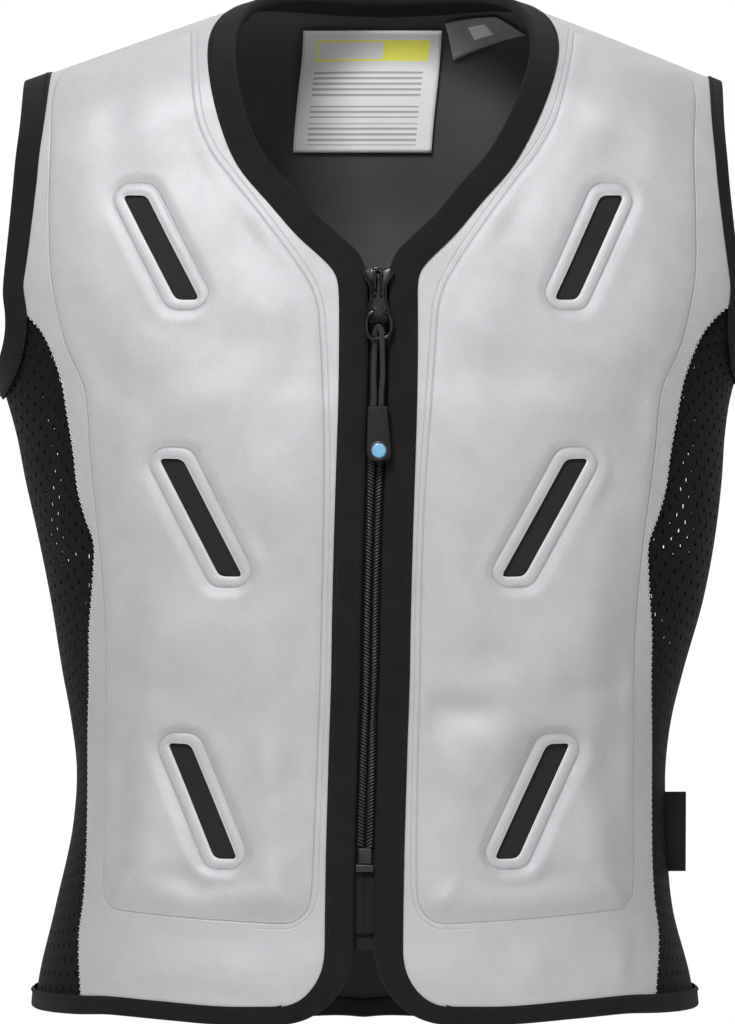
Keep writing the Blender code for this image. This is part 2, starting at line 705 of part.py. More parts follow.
def block(frame, size, middle, round_edges=0.0):
    """A box mesh in a local frame, with its long edges rounded."""
    build = bmesh.new()
    bmesh.ops.create_cube(build, size=1)
    for vertex in build.verts:
        vertex.co = Vector((vertex.co.x * size[0], vertex.co.y * size[1], vertex.co.z * size[2]))
    if round_edges:
        edges = [edge for edge in build.edges if abs(edge.verts[0].co.y - edge.verts[1].co.y) > size[1] / 2]
        bmesh.ops.bevel(build, geom=edges, offset=round_edges, segments=2, affect="EDGES", profile=0.5)
    origin, across, up, out = frame
    for vertex in build.verts:
        x, n, z = vertex.co
        vertex.co = place(origin, across, up, out, x + middle[0], z + middle[1], n + middle[2])
    build.normal_update()
    bmesh.ops.recalc_face_normals(build, faces=build.faces)
    return mesh_from(build, "block")


def tube(name, points, radius, look, closed=False):
    """A round wire or cord through points."""
    curve = bpy.data.curves.new(name, "CURVE")
    curve.dimensions = "3D"
    curve.bevel_depth = radius
    curve.bevel_resolution = 2
    curve.use_fill_caps = not closed
    spline = curve.splines.new("POLY")
    spline.points.add(len(points) - 1)
    for target, point in zip(spline.points, points):
        target.co = (*point, 1)
    spline.use_cyclic_u = closed
    made = bpy.data.objects.new(name, curve)
    curve.materials.append(look)
    VEST.objects.link(made)
    return made


def smooth_route(points, steps):
    """A smooth 3D line through a few points."""
    points = [Vector(point) for point in points]
    ends = [2 * points[0] - points[1]] + points + [2 * points[-1] - points[-2]]
    line = []
    for before, start, end, after in zip(ends[:-3], ends[1:-2], ends[2:-1], ends[3:]):
        for step in range(steps):
            t = step / steps
            line.append(0.5 * (2 * start + (end - before) * t
                               + (2 * before - 5 * start + 4 * end - after) * t * t
                               + (3 * start - before - 3 * end + after) * t ** 3))
    return line + [points[-1]]


def make_zip(looks):
    """Zip tapes, coils, bottom box and guard; gives the back of the tape and the top of the coil."""
    tape_face = -SLOT_CLEAR - TAPE_WALL - LAYER_GAP
    tape_back = tape_face - ZIP_TAPE
    coil_foot = tape_face + TOUCH
    coil_top = coil_foot + COIL_RISE
    chain = np.linspace(ZIP_TOP, COIL_BOTTOM, CHAIN_ROWS + 1)
    whole = np.concatenate([chain, np.linspace(COIL_BOTTOM, ZIP_END, ZIP_TAIL_ROWS + 1)[1:]])
    for side, label in ((-1, "right"), (1, "left")):
        near = side * TOUCH / 2
        far = side * ZIP_TAPE_WIDTH
        outline = [(near, tape_back), (far, tape_back), (far, tape_face), (near, tape_face)]
        zip_strip(f"zip_tape_{label}", whole, outline, looks["binding"])
        far = side * COIL_WIDTH
        shoulder = side * COIL_SHOULDER
        outline = [(near, coil_foot), (far, coil_foot), (far, coil_foot + COIL_SHOULDER_RISE),
                   (shoulder, coil_top), (near * 2, coil_top), (near, coil_top - TOUCH)]
        zip_strip(f"zip_coil_{label}", chain, outline, looks["coil"])
    frame = zip_frame(COIL_BOTTOM, COIL_BOTTOM + BOX_LENGTH)
    middle = (0, -TOUCH - BOX_LENGTH / 2, coil_foot + BOX_RISE / 2)
    piece("zip_box", block(frame, (BOX_WIDTH, BOX_RISE, BOX_LENGTH), middle, BOX_CORNER), looks["plastic"])

    guard_face = tape_back - 2 * TOUCH - SLIDER_BACK_PLATE
    guard_back = guard_face - GUARD_THICK
    sewn_face = tape_back - TOUCH
    outline = [(-GUARD_HALF, guard_back), (GUARD_HALF + GUARD_SEWN, guard_back),
               (GUARD_HALF + GUARD_SEWN, sewn_face), (GUARD_HALF - TOUCH, sewn_face),
               (GUARD_HALF - TOUCH, guard_face), (-GUARD_HALF, guard_face)]
    above = np.array([ZIP_TOP - GUARD_ABOVE])
    below = np.array([GUARD_BOTTOM])
    zip_strip("zip_guard", np.concatenate([above, whole, below]), outline, looks["guard"])
    return tape_back, coil_top


def make_pull(tape_back, coil_top, looks):
    """Zip slider with its lug, and the bail, cord, moulded end and disc that hang from it."""
    top = ZIP_TOP - SLIDER_POST - 2 * TOUCH
    frame = zip_frame(top, top + SLIDER_LENGTH)
    body_foot = coil_top + 2 * TOUCH
    plate_foot = LINING + LAYER_GAP + SHEET + FACE_CLEAR + TAPE_WALL + 2 * TOUCH
    plate_top = plate_foot + SLIDER_PLATE
    overlap = SLIDER_PLATE / 2
    bar_level = plate_top + TOUCH + BAIL_WIRE
    lug_top = bar_level + BAIL_WIRE + TOUCH + LUG_WALL
    back_middle = tape_back - TOUCH - SLIDER_BACK_PLATE / 2
    parts = [
        block(frame, (SLIDER_WIDTH, SLIDER_PLATE, SLIDER_LENGTH),
              (0, -SLIDER_LENGTH / 2, (plate_foot + plate_top) / 2), PLATE_CORNER),
        block(frame, (SLIDER_BODY_WIDTH, plate_foot + overlap - body_foot, SLIDER_BODY_LENGTH),
              (0, -SLIDER_BODY_MIDDLE, (plate_foot + overlap + body_foot) / 2), BODY_CORNER),
        block(frame, (SLIDER_BACK_WIDTH, SLIDER_BACK_PLATE, SLIDER_BACK_LENGTH),
              (0, -SLIDER_BACK_LENGTH / 2, back_middle), BACK_CORNER),
        block(frame, (SLIDER_POST, plate_foot - back_middle, SLIDER_POST),
              (0, -SLIDER_POST / 2 - TOUCH, (plate_foot + back_middle) / 2), POST_CORNER),
        block(frame, (LUG_WIDTH, lug_top - plate_top + overlap, LUG_LENGTH),
              (0, -LUG_DOWN, (lug_top + plate_top - overlap) / 2)),
    ]
    slider = joined("zip_slider", parts, looks["plastic"])
    origin, across, up, out = frame
    bar = place(origin, across, up, out, 0, -LUG_DOWN, bar_level)
    drill = bmesh.new()
    bmesh.ops.create_cone(drill, cap_ends=True, segments=ROUND_SIDES, radius1=BAIL_WIRE + TOUCH,
                          radius2=BAIL_WIRE + TOUCH, depth=LUG_HOLE_LENGTH)
    cutter = bpy.data.objects.new("lug_hole", mesh_from(drill, "lug_hole"))
    cutter.rotation_mode = "QUATERNION"
    cutter.rotation_quaternion = Vector(across).to_track_quat("Z", "Y")
    cutter.location = bar
    cutter.hide_render = True
    cutter.display_type = "WIRE"
    CUTTERS.objects.link(cutter)
    hole = slider.modifiers.new("Lug hole", "BOOLEAN")
    hole.object = cutter
    hole.operation = "DIFFERENCE"
    hole.solver = "EXACT"

    bail_top = top + LUG_DOWN
    foot = zip_place(0, bail_top + BAIL_LENGTH, bar_level)
    half = BAIL_WIDTH / 2 - BAIL_CORNER
    centres = [(half, BAIL_CORNER), (half, BAIL_LENGTH - BAIL_CORNER),
               (-half, BAIL_LENGTH - BAIL_CORNER), (-half, BAIL_CORNER)]
    ring = []
    for quarter, (x, down) in enumerate(centres):
        for step in range(BAIL_CORNER_STEPS + 1):
            angle = (step / BAIL_CORNER_STEPS + quarter - 1) * math.pi / 2
            share = (down + BAIL_CORNER * math.sin(angle)) / BAIL_LENGTH
            ring.append(bar + (foot - bar) * share + across * (x + BAIL_CORNER * math.cos(angle)))
    tube("zip_bail", ring, BAIL_WIRE, looks["plastic"], closed=True)

    loop_down = top + LUG_DOWN + BAIL_LENGTH
    behind = bar_level - BAIL_WIRE - TOUCH - CORD_RADIUS
    before = bar_level + BAIL_WIRE + TOUCH + CORD_RADIUS
    pull_top = top + CORD_DROP
    pull_level = plate_foot + PULL_THICK / 2
    wide = CORD_SPREAD
    turn_down = loop_down - CORD_TURN
    fall_down = loop_down + CORD_FALL
    straight_down = pull_top - CORD_STRAIGHT
    route = [(-wide, pull_top, pull_level), (-wide, straight_down, pull_level),
             (-wide, fall_down, behind), (-wide, loop_down, behind),
             (-CORD_TURN_SPREAD, turn_down, behind + CORD_TURN_DEPTH),
             (0, loop_down - CORD_LOOP_TOP, bar_level),
             (CORD_TURN_SPREAD, turn_down, before - CORD_TURN_DEPTH), (wide, loop_down, before),
             (wide, fall_down, before - CORD_SINK), (wide, straight_down, pull_level),
             (wide, pull_top, pull_level)]
    line = smooth_route([zip_place(*point) for point in route], CORD_STEPS)
    tube("pull_cord", line, CORD_RADIUS, looks["cord"])

    frame = zip_frame(pull_top + TOUCH, pull_top + PULL_LENGTH)
    build = bmesh.new()
    bmesh.ops.create_cube(build, size=1)
    for vertex in build.verts:
        width = PULL_TOP_WIDTH if vertex.co.z > 0 else PULL_WIDTH
        vertex.co = Vector((vertex.co.x * width, vertex.co.y * PULL_THICK, vertex.co.z * PULL_LENGTH))
    bmesh.ops.bevel(build, geom=build.edges[:], offset=PULL_ROUND, segments=2, affect="EDGES", profile=0.5)
    origin, across, up, out = frame
    for vertex in build.verts:
        x, n, z = vertex.co
        vertex.co = place(origin, across, up, out, x, z - PULL_LENGTH / 2 - TOUCH, n + pull_level)
    build.normal_update()
    bmesh.ops.recalc_face_normals(build, faces=build.faces)
    piece("pull_end", mesh_from(build, "pull_end"), looks["plastic"])
    build = bmesh.new()
    bmesh.ops.create_cone(build, cap_ends=True, segments=DISC_SIDES, radius1=DISC_RADIUS,
                          radius2=DISC_RADIUS, depth=DISC_THICK)
    disc = piece("pull_disc", mesh_from(build, "pull_disc"), looks["disc"])
    disc.rotation_mode = "QUATERNION"
    disc.rotation_quaternion = Vector(out).to_track_quat("Z", "Y")
    face = pull_level + PULL_THICK / 2 + TOUCH + DISC_THICK / 2
    disc.location = place(origin, across, up, out, 0, -DISC_DOWN, face)


# Labels
def inside(pattern, clear, name, look):
    """A label on the inner face of the back."""
    points, out = grids(pattern)
    return cloth(name, points - out * (clear + LABEL_THICK), LABEL_THICK, look)


def make_labels(looks):
    """Neck label and size tab inside the back neck, and the tab on the wearer's left side."""
    across = np.linspace(LABEL_MIDDLE - LABEL_HALF, LABEL_MIDDLE + LABEL_HALF, LABEL_CELLS + 1)
    heights = np.linspace(LABEL_TOP, -LABEL_BOTTOM, LABEL_CELLS + 1)
    pattern = np.array([[(x, -run_at(x, height)) for x in across[::-1]] for height in heights])
    inside(pattern, LABEL_CLEAR, "neck_label", looks["label"])
    corners = np.array([(x * NECK_HALF, run * NECK_BACK_RUN) for x, run in SIZE_TAB])
    shares = np.linspace(0, 1, SIZE_TAB_CELLS + 1)
    upper = corners[0] + shares[:, None] * (corners[1] - corners[0])
    lower = corners[3] + shares[:, None] * (corners[2] - corners[3])
    pattern = np.array([upper + share * (lower - upper) for share in shares])
    inside(pattern[:, ::-1], SIZE_TAB_CLEAR, "size_tab", looks["tab"])

    height = -SIDE_TAB_TOP - SIDE_TAB_HEIGHT / 2
    origin = flank(1, SIDE_TAB_ANGLE, height)
    frame = (origin, np.array([1.0, 0, 0]), np.array([0, 0, 1.0]), np.array([0, -1.0, 0]))
    reach = MESH + 4 * TOUCH + SIDE_TAB_REACH / 2
    tab = block(frame, (SIDE_TAB_REACH, SIDE_TAB_THICK, SIDE_TAB_HEIGHT), (reach, 0, 0))
    piece("side_tab", tab, looks["binding"])


def main():
    """Makes the whole vest."""
    looks = {
        "silver": material("silver_film", (0.58, 0.60, 0.62), 0.38, 0.35),
        "lining": material("dark_lining", (0.042, 0.042, 0.044), 0.9),
        "mesh": material("black_mesh", (0.012, 0.012, 0.013), 0.85),
        "binding": material("black_binding", (0.016, 0.016, 0.018), 0.8),
        "coil": material("coil_nylon", (0.012, 0.012, 0.013), 0.45),
        "plastic": material("black_plastic", (0.010, 0.010, 0.011), 0.35),
        "guard": material("guard_cloth", (0.014, 0.014, 0.015), 0.8),
        "cord": material("cord_black", (0.012, 0.012, 0.013), 0.75),
        "disc": material("blue_disc", (0.13, 0.38, 0.66), 0.4),
        "label": material("grey_label", (0.35, 0.35, 0.36), 0.6),
        "tab": material("dark_tab", (0.05, 0.05, 0.055), 0.7),
    }
    front = front_pattern()
    back = back_pattern()
    for side, label in ((-1, "right"), (1, "left")):
        made = panel(f"front_panel_{label}", front, side, looks)
        cut_vents(made, side)
        points, _ = flank_grids(side)
        points = shrink_sides(points, SEAM_GAP)
        if side < 0:
            points = points[:, ::-1]
        cloth(f"side_panel_{label}", points, MESH, looks["mesh"])
    panel("back_panel", back, 1, looks)
    make_bindings(front, back, looks)
    tape_back, coil_top = make_zip(looks)
    make_pull(tape_back, coil_top, looks)
    make_labels(looks)


for old in list(bpy.data.objects):
    bpy.data.objects.remove(old, do_unlink=True)
VEST = collection("cooling_vest")
CUTTERS = collection("cutters")
main()
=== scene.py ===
import json
import math
from functools import partial

import bmesh
import bpy
import numpy as np
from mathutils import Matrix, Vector

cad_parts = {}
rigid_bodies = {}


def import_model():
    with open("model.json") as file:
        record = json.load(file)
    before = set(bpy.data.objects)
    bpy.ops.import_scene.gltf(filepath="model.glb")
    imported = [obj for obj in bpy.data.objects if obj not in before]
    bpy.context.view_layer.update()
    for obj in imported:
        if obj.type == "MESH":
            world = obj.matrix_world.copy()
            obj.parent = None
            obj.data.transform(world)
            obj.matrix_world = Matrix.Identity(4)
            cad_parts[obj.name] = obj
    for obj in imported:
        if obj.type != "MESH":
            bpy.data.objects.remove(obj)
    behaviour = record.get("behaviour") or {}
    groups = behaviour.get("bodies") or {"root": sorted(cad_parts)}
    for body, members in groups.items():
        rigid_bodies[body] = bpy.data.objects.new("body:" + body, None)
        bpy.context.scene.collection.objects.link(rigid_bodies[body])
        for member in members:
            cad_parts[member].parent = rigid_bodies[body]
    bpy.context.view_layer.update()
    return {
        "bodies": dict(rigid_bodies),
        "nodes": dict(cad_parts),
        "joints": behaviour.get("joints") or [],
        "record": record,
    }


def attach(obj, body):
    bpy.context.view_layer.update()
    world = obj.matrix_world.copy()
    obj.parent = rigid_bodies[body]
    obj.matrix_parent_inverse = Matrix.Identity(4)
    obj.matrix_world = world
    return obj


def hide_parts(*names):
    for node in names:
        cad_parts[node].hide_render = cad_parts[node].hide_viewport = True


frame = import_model()
MM = 0.001

# Camera: it stands three metres in front of the chest, a little above it, and looks straight at the zip.
AIM = Vector((-1.25, 0, -241)) * MM
CAMERA_DISTANCE = 3.0
CAMERA_TILT = math.radians(4)
LENS = 210.9
SENSOR = 36


def shown(name, data):
    """A named object on its data, in the scene."""
    made = bpy.data.objects.new(name, data)
    bpy.context.scene.collection.objects.link(made)
    return made


def aimed(name, data, place, aim):
    """A camera or a lamp that looks from a place at an aim."""
    made = shown(name, data)
    made.location = place
    made.rotation_mode = "QUATERNION"
    made.rotation_quaternion = (aim - made.location).to_track_quat("-Z", "Y")
    return made


camera_data = bpy.data.cameras.new("front_view")
camera_data.lens = LENS
camera_data.sensor_width = SENSOR
station = AIM + CAMERA_DISTANCE * Vector((0, -math.cos(CAMERA_TILT), math.sin(CAMERA_TILT)))
bpy.context.scene.camera = aimed("front_view", camera_data, station, AIM)


# Dark linings: one thin knit layer behind each silver panel, next to the wearer. They are cut to the same
# outlines as the panels and caught with them in the edge binding. The back one is grey; towards the hem its
# colour turns black as painted shade, standing in for the shade inside the vest. Every layer of the vest lies on
# one torso form, and a place on it is given as on a sewing pattern: across from the middle, and run from the
# shoulder.
LENGTH = 483 * MM
CHEST_HALF = 180.5 * MM
FRONT_DEPTH = 105 * MM
BACK_DEPTH = 100 * MM
SHOULDER_HALF = 171.5 * MM
SHOULDER_DROP = 36.3 * MM
RIDGE_RADIUS = 46 * MM
RIDGE_HEIGHT = 7.2 * MM
RIDGE_ROUND = 35 * MM
NECK_HALF = 73.5 * MM
NECK_FRONT_RUN = 171 * MM
NECK_BACK_RUN = 34 * MM
ARMHOLE_RUN = 126 * MM
BACK_HEM = 510 * MM
SEAM_HALF = 139.5 * MM
SEAM_BEHIND_RIDGE = 10 * MM
CORNER_RADIUS = 36 * MM
SWAY = 8 * MM
ROUNDNESS = 2.4
WIDEST_SHARE = 0.9995
MIDDLE_DOWN = 0.45 * LENGTH
NORMAL_STEP = 0.5 * MM
ZIP_HALF_GAP = 6.4 * MM
LINING = 1.0 * MM
LINING_CELL = 4 * MM
CELL = 1.5 * MM
BACK_CELL = 2 * MM
# Lengths that set how many cells a pattern has along its armholes, sides and hems
ARM_CELLS = 150 * MM
SIDE_CELLS = 340 * MM
BACK_SIDE_CELLS = 360 * MM
HEM_CELLS = 100 * MM
BACK_HALF_CELLS = 84 * MM
# Shares of the sizes above: down of LENGTH, right and left of CHEST_HALF, front, back and sway of theirs
SECTIONS = np.array([
    # down, right, left, front, back, sway
    (-0.100, 1.108, 1.108, 0.63, 0.78, 1.00),
    (0.000, 1.108, 1.108, 0.67, 0.80, 1.00),
    (0.145, 1.108, 1.108, 0.80, 0.91, 0.30),
    (0.207, 1.108, 1.108, 0.88, 0.98, 0.38),
    (0.255, 1.106, 1.106, 0.91, 0.99, 0.48),
    (0.321, 1.055, 1.053, 0.95, 1.00, 0.50),
    (0.352, 1.022, 1.010, 0.97, 1.00, 0.48),
    (0.377, 1.000, 0.990, 0.99, 1.00, 0.45),
    (0.414, 0.972, 0.975, 1.00, 1.00, 0.38),
    (0.464, 0.946, 0.966, 1.00, 0.98, 0.28),
    (0.518, 0.914, 0.950, 0.98, 0.96, 0.18),
    (0.588, 0.877, 0.916, 0.95, 0.92, 0.08),
    (0.662, 0.846, 0.861, 0.92, 0.89, 0.00),
    (0.710, 0.823, 0.830, 0.89, 0.87, -0.10),
    (0.766, 0.807, 0.813, 0.88, 0.85, -0.20),
    (0.818, 0.816, 0.816, 0.89, 0.87, -0.29),
    (0.911, 0.869, 0.835, 0.91, 0.92, -0.38),
    (0.990, 0.917, 0.888, 0.95, 0.97, -0.40),
    (1.077, 0.925, 0.903, 0.97, 1.00, -0.40),
])
DOWN, RIGHT, LEFT, FRONT, BACK, SIDEWAYS = range(6)
NECK_BACK = [(0.00, 1.00), (0.27, 0.88), (0.54, 0.57), (0.74, 0.18)]
NECK_FRONT = [(0.88, 0.06), (0.97, 0.16), (0.993, 0.25), (0.96, 0.354), (0.878, 0.472), (0.762, 0.588),
              (0.571, 0.71), (0.399, 0.815), (0.231, 0.895), (0.13, 0.945)]
ARMHOLE = [(1.000, -0.12), (1.000, 0.00), (0.994, 0.32), (1.003, 0.51), (1.018, 0.73), (1.035, 0.93),
           (1.038, 1.00)]
SIDE_SEAM = [(1.19, 0.291), (1.13, 0.313), (1.077, 0.352), (1.050, 0.393), (1.029, 0.429), (1.014, 0.464),
             (0.988, 0.492), (0.957, 0.518), (0.956, 0.542), (0.965, 0.580), (0.973, 0.613),
             (0.974, 0.663), (0.980, 0.725), (0.982, 0.807), (0.985, 0.853), (0.993, 0.890),
             (1.007, 0.921), (1.007, 0.948), (1.000, 0.979), (1.000, 1.000)]
HEM_FRONT = [(0.50, 1.0007), (0.72, 0.998), (0.90, 0.997)]
HEM_BACK = [(1.000, 0.969), (0.86, 0.978), (0.57, 0.992), (0.28, 0.999), (0.0, 1.0)]


def read(column, height):
    """Value of a column of SECTIONS at a height, on a smooth curve through its rows."""
    down = SECTIONS[:, DOWN]
    values = SECTIONS[:, column]
    slopes = np.gradient(values, down)
    place = np.clip(-np.asarray(height) / LENGTH, down[0], down[-1])
    row = np.clip(np.searchsorted(down, place) - 1, 0, len(down) - 2)
    step = down[row + 1] - down[row]
    t = (place - down[row]) / step
    start = values[row] * (1 + 2 * t) * (1 - t) ** 2 + slopes[row] * step * t * (1 - t) ** 2
    return start + values[row + 1] * t * t * (3 - 2 * t) + slopes[row + 1] * step * t * t * (t - 1)


def ridge(across):
    neck_reach = math.hypot(NECK_HALF, RIDGE_ROUND)
    slope = SHOULDER_DROP / (math.hypot(SHOULDER_HALF, RIDGE_ROUND) - neck_reach)
    return RIDGE_HEIGHT - slope * (np.hypot(across, RIDGE_ROUND) - neck_reach)


def half_width(side, height):
    return CHEST_HALF * np.where(np.asarray(side) < 0, read(RIGHT, height), read(LEFT, height))


def face_depth(front, height):
    return np.where(front, -FRONT_DEPTH * read(FRONT, height), BACK_DEPTH * read(BACK, height))


def torso(across, run):
    """Points of the form, over the shoulder and down the front (run is plus) or the back."""
    across, run = np.broadcast_arrays(np.asarray(across, float), np.asarray(run, float))
    quarter = RIDGE_RADIUS * math.pi / 2
    turn = np.minimum(np.abs(run), quarter) / RIDGE_RADIUS
    height = ridge(across) - RIDGE_RADIUS * (1 - np.cos(turn)) - np.maximum(np.abs(run) - quarter, 0)
    share = np.minimum(np.abs(across) / half_width(across, height), WIDEST_SHARE)
    bulge = (1 - share ** ROUNDNESS) ** (1 / ROUNDNESS)
    y = face_depth(run > 0, height) * bulge * np.sin(turn)
    return np.stack([across + SWAY * read(SIDEWAYS, height) * (1 - share ** 2), y, height], axis=-1)


def flank(side, angle, height):
    """Points of the form round the side: angle 0 is the side line, plus is to the front."""
    angle, height = np.broadcast_arrays(np.asarray(angle, float), np.asarray(height, float))
    share = np.cos(angle) ** (2 / ROUNDNESS)
    y = face_depth(angle > 0, height) * np.abs(np.sin(angle)) ** (2 / ROUNDNESS)
    x = side * half_width(side, height) * share + SWAY * read(SIDEWAYS, height) * (1 - share ** 2)
    return np.stack([x, y, height], axis=-1)


def run_at(across, height):
    """Run from the shoulder down to a height."""
    drop = np.maximum(ridge(across) - height, 0)
    curved = RIDGE_RADIUS * np.arccos(1 - np.minimum(drop / RIDGE_RADIUS, 1))
    return np.where(drop < RIDGE_RADIUS, curved, RIDGE_RADIUS * (math.pi / 2 - 1) + drop)


def unit(vectors):
    return vectors / np.linalg.norm(vectors, axis=-1, keepdims=True)


def normals(chart, first, second):
    """Outward normals of a form at places given by its two coordinates."""
    step = NORMAL_STEP
    along = chart(first + step, second) - chart(first - step, second)
    down = chart(first, second + step) - chart(first, second - step)
    normal = unit(np.cross(along, down))
    outward = np.sum(normal * (chart(first, second) + (0, 0, MIDDLE_DOWN)), axis=-1, keepdims=True)
    return normal * np.sign(outward)


def surface(chart, first, second):
    """Points of a form and its outward normals there."""
    return chart(first, second), normals(chart, first, second)


def smooth_line(points, steps=16):
    """A dense smooth line through a few points."""
    points = np.array(points, float)
    ends = np.vstack([2 * points[0] - points[1], points, 2 * points[-1] - points[-2]])
    t = np.linspace(0, 1, steps, endpoint=False)[:, None]
    pieces = []
    for before, start, end, after in zip(ends[:-3], ends[1:-2], ends[2:-1], ends[3:]):
        pieces.append(0.5 * (2 * start + (end - before) * t
                             + (2 * before - 5 * start + 4 * end - after) * t ** 2
                             + (3 * start - before - 3 * end + after) * t ** 3))
    return np.vstack(pieces + [points[-1:]])


def lengths(line):
    """Lengths along a line up to each of its points."""
    return np.concatenate([[0], np.cumsum(np.linalg.norm(np.diff(line, axis=0), axis=1))])


def line_length(line):
    return lengths(line)[-1]


def spread(line, cells):
    """Points at even steps along a line, both ends included."""
    length = lengths(line)
    places = np.linspace(0, length[-1], cells + 1)
    return np.stack([np.interp(places, length, line[:, axis]) for axis in range(line.shape[1])], axis=-1)


def from_run(line, run):
    """The part of a line whose run is over a value."""
    first = np.array([[np.interp(run, line[:, 1], line[:, 0]), run]])
    return np.vstack([first, line[line[:, 1] > run]])


def join(*lines):
    return np.vstack([lines[0]] + [line[1:] for line in lines[1:]])


def corner_line(start_share, end_share):
    """Part of the round corner at the foot of the centre front."""
    angles = np.linspace(start_share, end_share, 17) * math.pi / 2
    across = ZIP_HALF_GAP + CORNER_RADIUS * (1 - np.cos(angles))
    height = -LENGTH + CORNER_RADIUS * (1 - np.sin(angles))
    return np.stack([across, run_at(across, height)], axis=-1)


def seam_places(table, length):
    """Places from a table of shares: across of SEAM_HALF, and down of a length."""
    return [(SEAM_HALF * across, float(run_at(SEAM_HALF * across, -length * down))) for across, down in table]


def side_seam(hem_height):
    return smooth_line([tuple(armhole_edge[-1])] + seam_places(SIDE_SEAM[:-1], LENGTH)
                       + seam_places(SIDE_SEAM[-1:], hem_height))


def patch(left, right, top, bottom):
    """Places between four edge lines: rows from top to bottom, columns from left to right."""
    down = np.linspace(0, 1, len(left))[:, None, None]
    over = np.linspace(0, 1, len(top))[None, :, None]
    sides = (1 - over) * left[:, None] + over * right[:, None]
    ends = (1 - down) * top[None] + down * bottom[None]
    upper = (1 - over) * top[0] + over * top[-1]
    lower = (1 - over) * bottom[0] + over * bottom[-1]
    return sides + ends - (1 - down) * upper - down * lower


neck_edge = smooth_line([(NECK_HALF * across, -NECK_BACK_RUN * run) for across, run in NECK_BACK]
                        + [(NECK_HALF * across, NECK_FRONT_RUN * run) for across, run in NECK_FRONT]
                        + [(ZIP_HALF_GAP, NECK_FRONT_RUN)])
armhole_edge = smooth_line([(SHOULDER_HALF * across, ARMHOLE_RUN * run) for across, run in ARMHOLE])
front_seam = side_seam(LENGTH)
back_seam = side_seam(BACK_HEM * HEM_BACK[0][1])
foot_corner = corner_line(0, 1)
front_hem = smooth_line([tuple(foot_corner[-1])] + seam_places(HEM_FRONT, LENGTH) + [tuple(front_seam[-1])])
back_hem = smooth_line(seam_places(HEM_BACK, BACK_HEM))


def front_pattern(cell):
    """Places of the wearer's left front; the right one is its mirror image."""
    rows = round(ARM_CELLS / cell)
    low_rows = round(SIDE_CELLS / cell)
    arc = round(line_length(foot_corner) / 2 / cell)
    columns = round(HEM_CELLS / cell)
    neck = from_run(neck_edge, -SEAM_BEHIND_RIDGE)
    opening = np.array([neck[-1], foot_corner[0]])
    inner = join(spread(neck, rows), spread(opening, low_rows - arc), spread(corner_line(0, 0.5), arc))
    outer = join(spread(from_run(armhole_edge, -SEAM_BEHIND_RIDGE), rows), spread(front_seam, low_rows))
    shoulder = spread(np.array([inner[0], outer[0]]), arc + columns)
    return patch(inner, outer, shoulder, join(spread(corner_line(0.5, 1), arc), spread(front_hem, columns)))


def back_pattern(cell):
    """Places of the back, from the wearer's right armhole to the left one."""
    rows = round(ARM_CELLS / cell)
    low_rows = round(BACK_SIDE_CELLS / cell)
    half = round(BACK_HALF_CELLS / cell)
    neck = neck_edge[neck_edge[:, 1] < -SEAM_BEHIND_RIDGE] * (1, -1)
    armhole = from_run(armhole_edge, SEAM_BEHIND_RIDGE)
    left = join(spread(armhole, rows), spread(back_seam, low_rows))
    seam = spread(np.array([left[0], neck[-1]]), half)
    half_top = join(seam, spread(neck[::-1], half))
    half_bottom = spread(back_hem, 2 * half)
    mirror = np.array([-1, 1])
    top = join(half_top * mirror, half_top[::-1])
    bottom = join(half_bottom * mirror, half_bottom[::-1])
    return patch(left * mirror, left, top, bottom) * (1, -1)


class Wire:
    """A value on its way through a material, so that shader maths reads as plain arithmetic."""

    def __init__(self, look, socket):
        self.look = look
        self.socket = socket

    def maths(self, operation, *values):
        return self.look.node("Math", {"operation": operation}, dict(enumerate(values)))

    def __add__(self, other):
        return self.maths("ADD", self, other)

    def __radd__(self, other):
        return self.maths("ADD", other, self)

    def __sub__(self, other):
        return self.maths("SUBTRACT", self, other)

    def __rsub__(self, other):
        return self.maths("SUBTRACT", other, self)

    def __mul__(self, other):
        return self.maths("MULTIPLY", self, other)

    def __rmul__(self, other):
        return self.maths("MULTIPLY", other, self)

    def __truediv__(self, other):
        return self.maths("DIVIDE", self, other)

    def __abs__(self):
        return self.maths("ABSOLUTE", self)

    def wave(self):
        """A sine of this value counted in whole turns, from -1 to 1."""
        return self.maths("SINE", self * (2 * math.pi))

    def rise(self, low, high):
        """0 below low, 1 above high and smooth between them."""
        sockets = {"Value": self, "From Min": low, "From Max": high}
        return self.look.node("MapRange", {"interpolation_type": "SMOOTHSTEP"}, sockets)

    def line(self, place, width):
        """1 on a place of this value, and 0 from a width away on."""
        return 1 - abs(self - place).rise(0, width)


